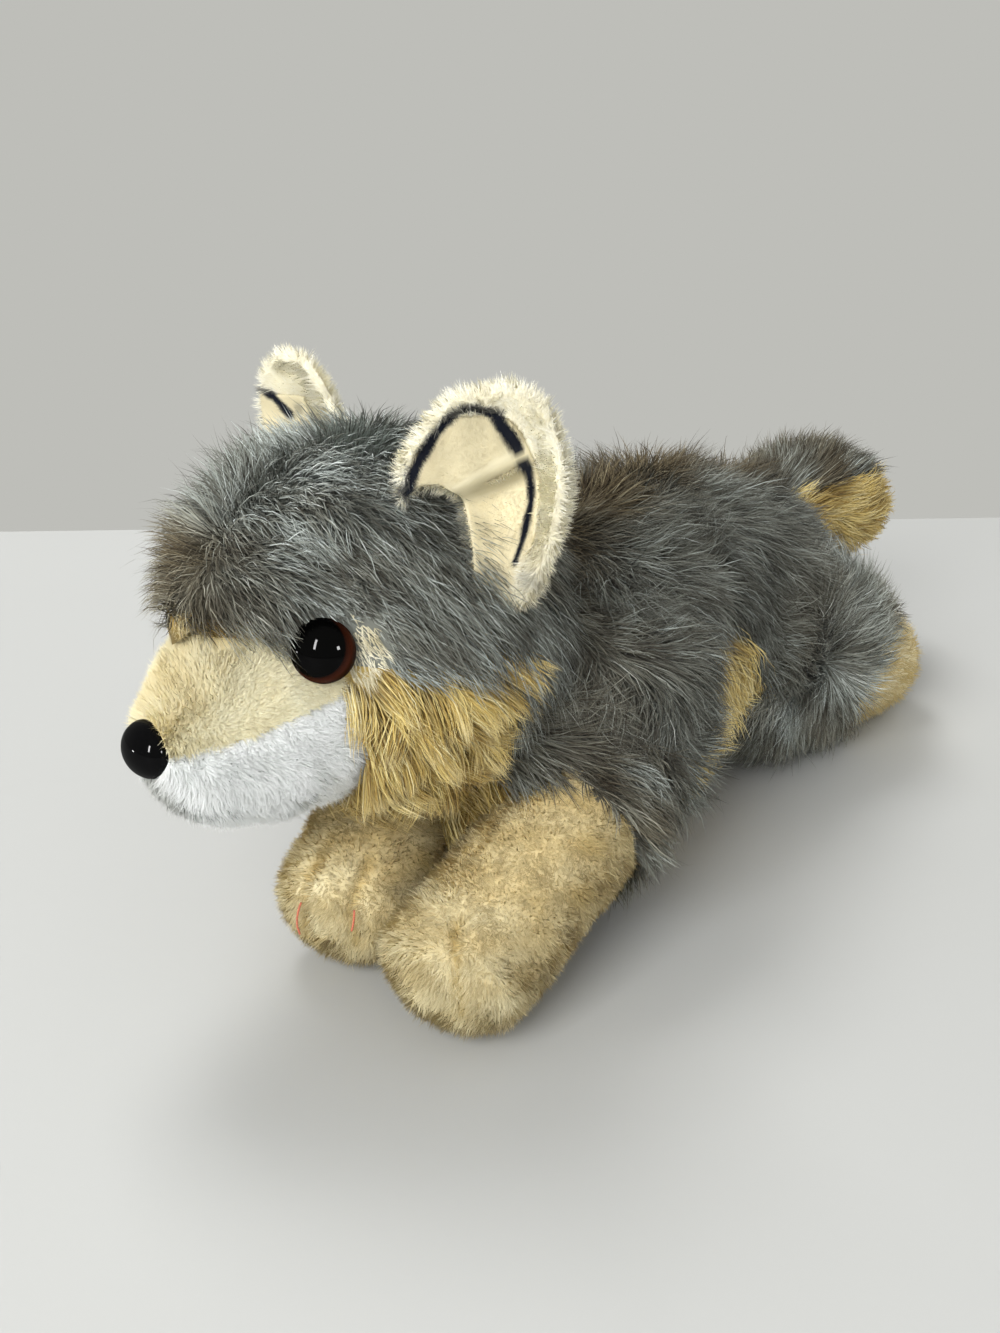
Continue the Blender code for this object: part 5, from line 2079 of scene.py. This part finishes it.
@dataclass
class Stitches:
    """Sewing threads that show on the right forepaw's toes."""

    finishes: Finishes

    def thread(self, name: str, runs: list[Array], radius: float, colour: Colour, slot: str) -> None:
        """Lays round threads along runs of places.

        Args:
            name: The piece's name.
            runs: The places of each thread.
            radius: Half the thread's thickness.
            colour: The thread's colour.
            slot: The cloth whose slot it would follow; it is not used.
        """
        curve = bpy.data.curves.new(name, "CURVE")
        curve.dimensions = "3D"
        curve.bevel_depth = radius
        curve.bevel_resolution = 1
        curve.resolution_u = 4
        curve.use_fill_caps = True
        for run in runs:
            spline = curve.splines.new("POLY")
            spline.points.add(len(run) - 1)
            for point, place in zip(spline.points, run):
                point.co = (*place, 1.0)
        holder = linked(f"{name}_path", curve)
        mesh = bmesh.new()
        mesh.from_mesh(bpy.data.meshes.new_from_object(holder))
        bpy.data.objects.remove(holder, do_unlink=True)
        settle(keep_mesh(name, mesh, self.finishes(ThreadFinish(f"{name}_finish", colour))), slot)

    def over(self, form: Form, own: list[tuple[float, float, float]], lift: float) -> Array:
        """Lays a run of places of a form's own frame on its surface."""
        points = np.array(own)
        value, _ = form.table.at(points[:, 1])
        off = points[:, (0, 2)] - value[:, :2]
        scale = 1.0 / np.maximum(np.sqrt(((off / value[:, 2:]) ** 2).sum(axis=1)), 0.05)
        points[:, 0] = value[:, 0] + off[:, 0] * scale
        points[:, 2] = value[:, 1] + off[:, 1] * scale
        whole = moved(points, form.frame)
        return whole + form.normals(whole) * lift

    def build(self) -> None:
        """Builds every thread."""
        leg = FORMS["foreleg_right"]
        ends = (((-7.9, 90.4, 8.6), (-8.0, 92.4, 5.0)), ((3.6, 91.9, 11.0), (5.1, 94.2, 0.9)))
        runs = [self.over(leg, [tuple(place) for place in np.linspace(*pair, 6)], 1.6) for pair in ends]
        self.thread("toe_thread_right", runs, 0.28, paint(226, 120, 84), "beige_plush")


@dataclass
class Studio:
    """Pale table, soft lights and the photograph's camera."""

    glosses: list[Gloss]
    camera_at: tuple[float, float, float] = (0.1847, -0.3550, 0.2370)
    camera_pitch: float = 65.0
    camera_turn: float = 31.8
    focal: float = 1500.0
    table_edge: float = 0.665
    table_turn: float = 34.2
    table_size: float = 4.0
    sky: float = 0.6
    glint_reach: float = 0.9
    glint_strength: float = 120.0
    sensor: float = 36.0
    aim: tuple[float, float, float] = (0.0, 0.0, 0.05)
    key_at: tuple[float, float, float] = (-0.5, 0.25, 1.2)
    key_size: tuple[float, float] = (0.5, 0.5)
    key_power: float = 9.5
    front_at: tuple[float, float, float] = (0.15, -1.25, 0.85)
    front_size: tuple[float, float] = (0.8, 0.8)
    front_power: float = 18.0

    def lamp(self, name: str, at: tuple[float, float, float], size: tuple[float, float], power: float,
             aim: tuple[float, float, float], mirrored: bool) -> None:
        """Adds a soft lamp.

        Args:
            name: The lamp's name.
            at: Where it hangs.
            size: Its width and height.
            power: Its power.
            aim: The place that it faces.
            mirrored: Whether the eyes and nose mirror it.
        """
        data = bpy.data.lights.new(name, "AREA")
        data.shape = "RECTANGLE"
        data.size, data.size_y = size
        data.energy = power
        lamp = linked(name, data)
        lamp.location = at
        lamp.rotation_euler = (Vector(aim) - Vector(at)).to_track_quat("-Z", "Y").to_euler()
        lamp.visible_glossy = mirrored
        lamp.visible_diffuse = not mirrored

    def glint(self, name: str, gloss: Gloss) -> None:
        """Hangs a small lamp where a gloss of the wolf mirrors it into the camera."""
        sight = unit(np.array(self.camera_at) - gloss.place)
        way = 2.0 * float(sight @ gloss.normal) * gloss.normal - sight
        at = gloss.place + way * self.glint_reach
        power = self.glint_strength * math.pi * gloss.size[0] * gloss.size[1]
        self.lamp(name, tuple(at), gloss.size, power, tuple(gloss.place), True)

    def table(self) -> None:
        """Lays the table, whose far edge runs straight across the picture."""
        turn = Matrix.Rotation(math.radians(self.table_turn), 4, "Z")
        foot = Matrix.Translation((self.camera_at[0], self.camera_at[1], 0.0))
        middle = Matrix.Translation((0.0, self.table_edge - self.table_size / 2.0, 0.0))
        mesh = bmesh.new()
        bmesh.ops.create_grid(mesh, x_segments=8, y_segments=8, size=self.table_size / 2.0 / MM)
        place = foot @ turn @ middle
        place.translation = place.translation / MM
        bmesh.ops.transform(mesh, matrix=place, verts=mesh.verts)
        nodes = Nodes("table_top")
        tone = nodes.ramp(nodes.noise(3.0), [(0.3, (0.475, 0.482, 0.468)), (0.7, (0.49, 0.497, 0.484))])
        keep_mesh("table", mesh, nodes.wear(tone, Roughness=0.6, Specular_IOR_Level=0.2))

    def surroundings(self) -> None:
        """Lights the wolf from all round, with the plain wall seen behind the table."""
        world = bpy.data.worlds.new("studio")
        bpy.context.scene.world = world
        world.use_nodes = True
        tree = world.node_tree
        sky = tree.nodes["Background"]
        sky.inputs["Color"].default_value = (1.0, 0.99, 0.97, 1.0)
        sky.inputs["Strength"].default_value = self.sky
        wall = tree.nodes.new("ShaderNodeBackground")
        wall.inputs["Color"].default_value = (*paint(190, 190, 185), 1.0)
        path = tree.nodes.new("ShaderNodeLightPath")
        seen = tree.nodes.new("ShaderNodeMixShader")
        plain = path.outputs["Is Camera Ray"]
        for ray in ("Is Glossy Ray", "Is Transmission Ray"):
            either = tree.nodes.new("ShaderNodeMath")
            either.operation = "MAXIMUM"
            tree.links.new(plain, either.inputs[0])
            tree.links.new(path.outputs[ray], either.inputs[1])
            plain = either.outputs[0]
        tree.links.new(plain, seen.inputs[0])
        tree.links.new(sky.outputs[0], seen.inputs[1])
        tree.links.new(wall.outputs[0], seen.inputs[2])
        tree.links.new(seen.outputs[0], tree.nodes["World Output"].inputs["Surface"])

    def build(self) -> None:
        """Builds the studio."""
        scene = bpy.context.scene
        self.table()
        self.surroundings()
        self.lamp("key", self.key_at, self.key_size, self.key_power, self.aim, False)
        self.lamp("front", self.front_at, self.front_size, self.front_power, self.aim, False)
        for number, gloss in enumerate(self.glosses):
            self.glint(f"glint_{number}", gloss)
        data = bpy.data.cameras.new("camera")
        data.sensor_fit = "VERTICAL"
        data.sensor_height = self.sensor
        data.lens = self.focal * self.sensor / PHOTO_HEIGHT
        data.clip_start = 0.01
        camera = linked("camera", data)
        camera.location = self.camera_at
        camera.rotation_euler = (math.radians(self.camera_pitch), 0.0, math.radians(self.camera_turn))
        scene.camera = camera
        scene.view_settings.view_transform = "Standard"


def dress_washers(finishes: Finishes, nodes: dict[str, bpy.types.Object]) -> None:
    """Gives the washers inside the head their own plastic."""
    plastic = finishes(MouldedFinish("washer_moulding", paint(214, 212, 204), 0.45))
    for name in ("eye_washer_left", "eye_washer_right", "nose_washer"):
        washer = nodes[name]
        washer.data.materials.clear()
        washer.data.materials.append(plastic)


def main() -> None:
    """Builds the wolf piece by piece."""
    logging.basicConfig(level=logging.INFO, format="%(name)s: %(message)s")
    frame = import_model()
    finishes = Finishes()
    head = Head(finishes)
    head.build()
    Ear(
        finishes,
        Side.LEFT,
        rows=LEFT_EAR_ROWS,
        facing=(0.66, -0.74, 0.15),
        lines=[
            [(7.3, 0.14, 1.7), (6.95, 0.47, 1.5), (6.45, 0.65, 1.2), (6.1, 0.73, 1.1), (5.75, 0.80, 1.1),
             (5.3, 0.74, 1.3), (4.6, 0.64, 1.8), (4.1, 0.64, 1.7)],
            [(3.6, 0.63, 1.7), (3.15, 0.63, 1.2), (2.6, 0.63, 1.0), (1.85, 0.59, 0.9), (1.1, 0.58, 0.6)],
        ],
        smudges=[(0.8, 0.9, 3.5)],
        lined=((0.35, 7.3), (0.06, 0.72)),
        fold=(4.2, 3.5, 3.8, 0.66),
    ).build()
    Ear(
        finishes,
        Side.RIGHT,
        rows=RIGHT_EAR_ROWS,
        facing=(0.14, -0.98, 0.12),
        lines=[[(5.07, 1.0, 1.0), (4.81, 0.91, 1.1), (4.55, 0.81, 1.2), (4.02, 0.71, 1.5)]],
        smudges=[(4.24, 0.60, 2.6), (3.89, 0.49, 2.6), (3.2, 0.45, 3.0)],
        lined=((0.0, 4.7), (0.5, 0.93)),
        fold=(0.0, 4.0, 5.0, 0.5),
    ).build()
    Body(finishes).build()
    Tail(finishes).build()
    for side in Side:
        Foreleg(finishes, side).build()
        HindLeg(finishes, side).build()
    Stitches(finishes).build()
    dress_washers(finishes, frame["nodes"])
    Studio(head.glosses).build()


if __name__ == "__main__":
    main()
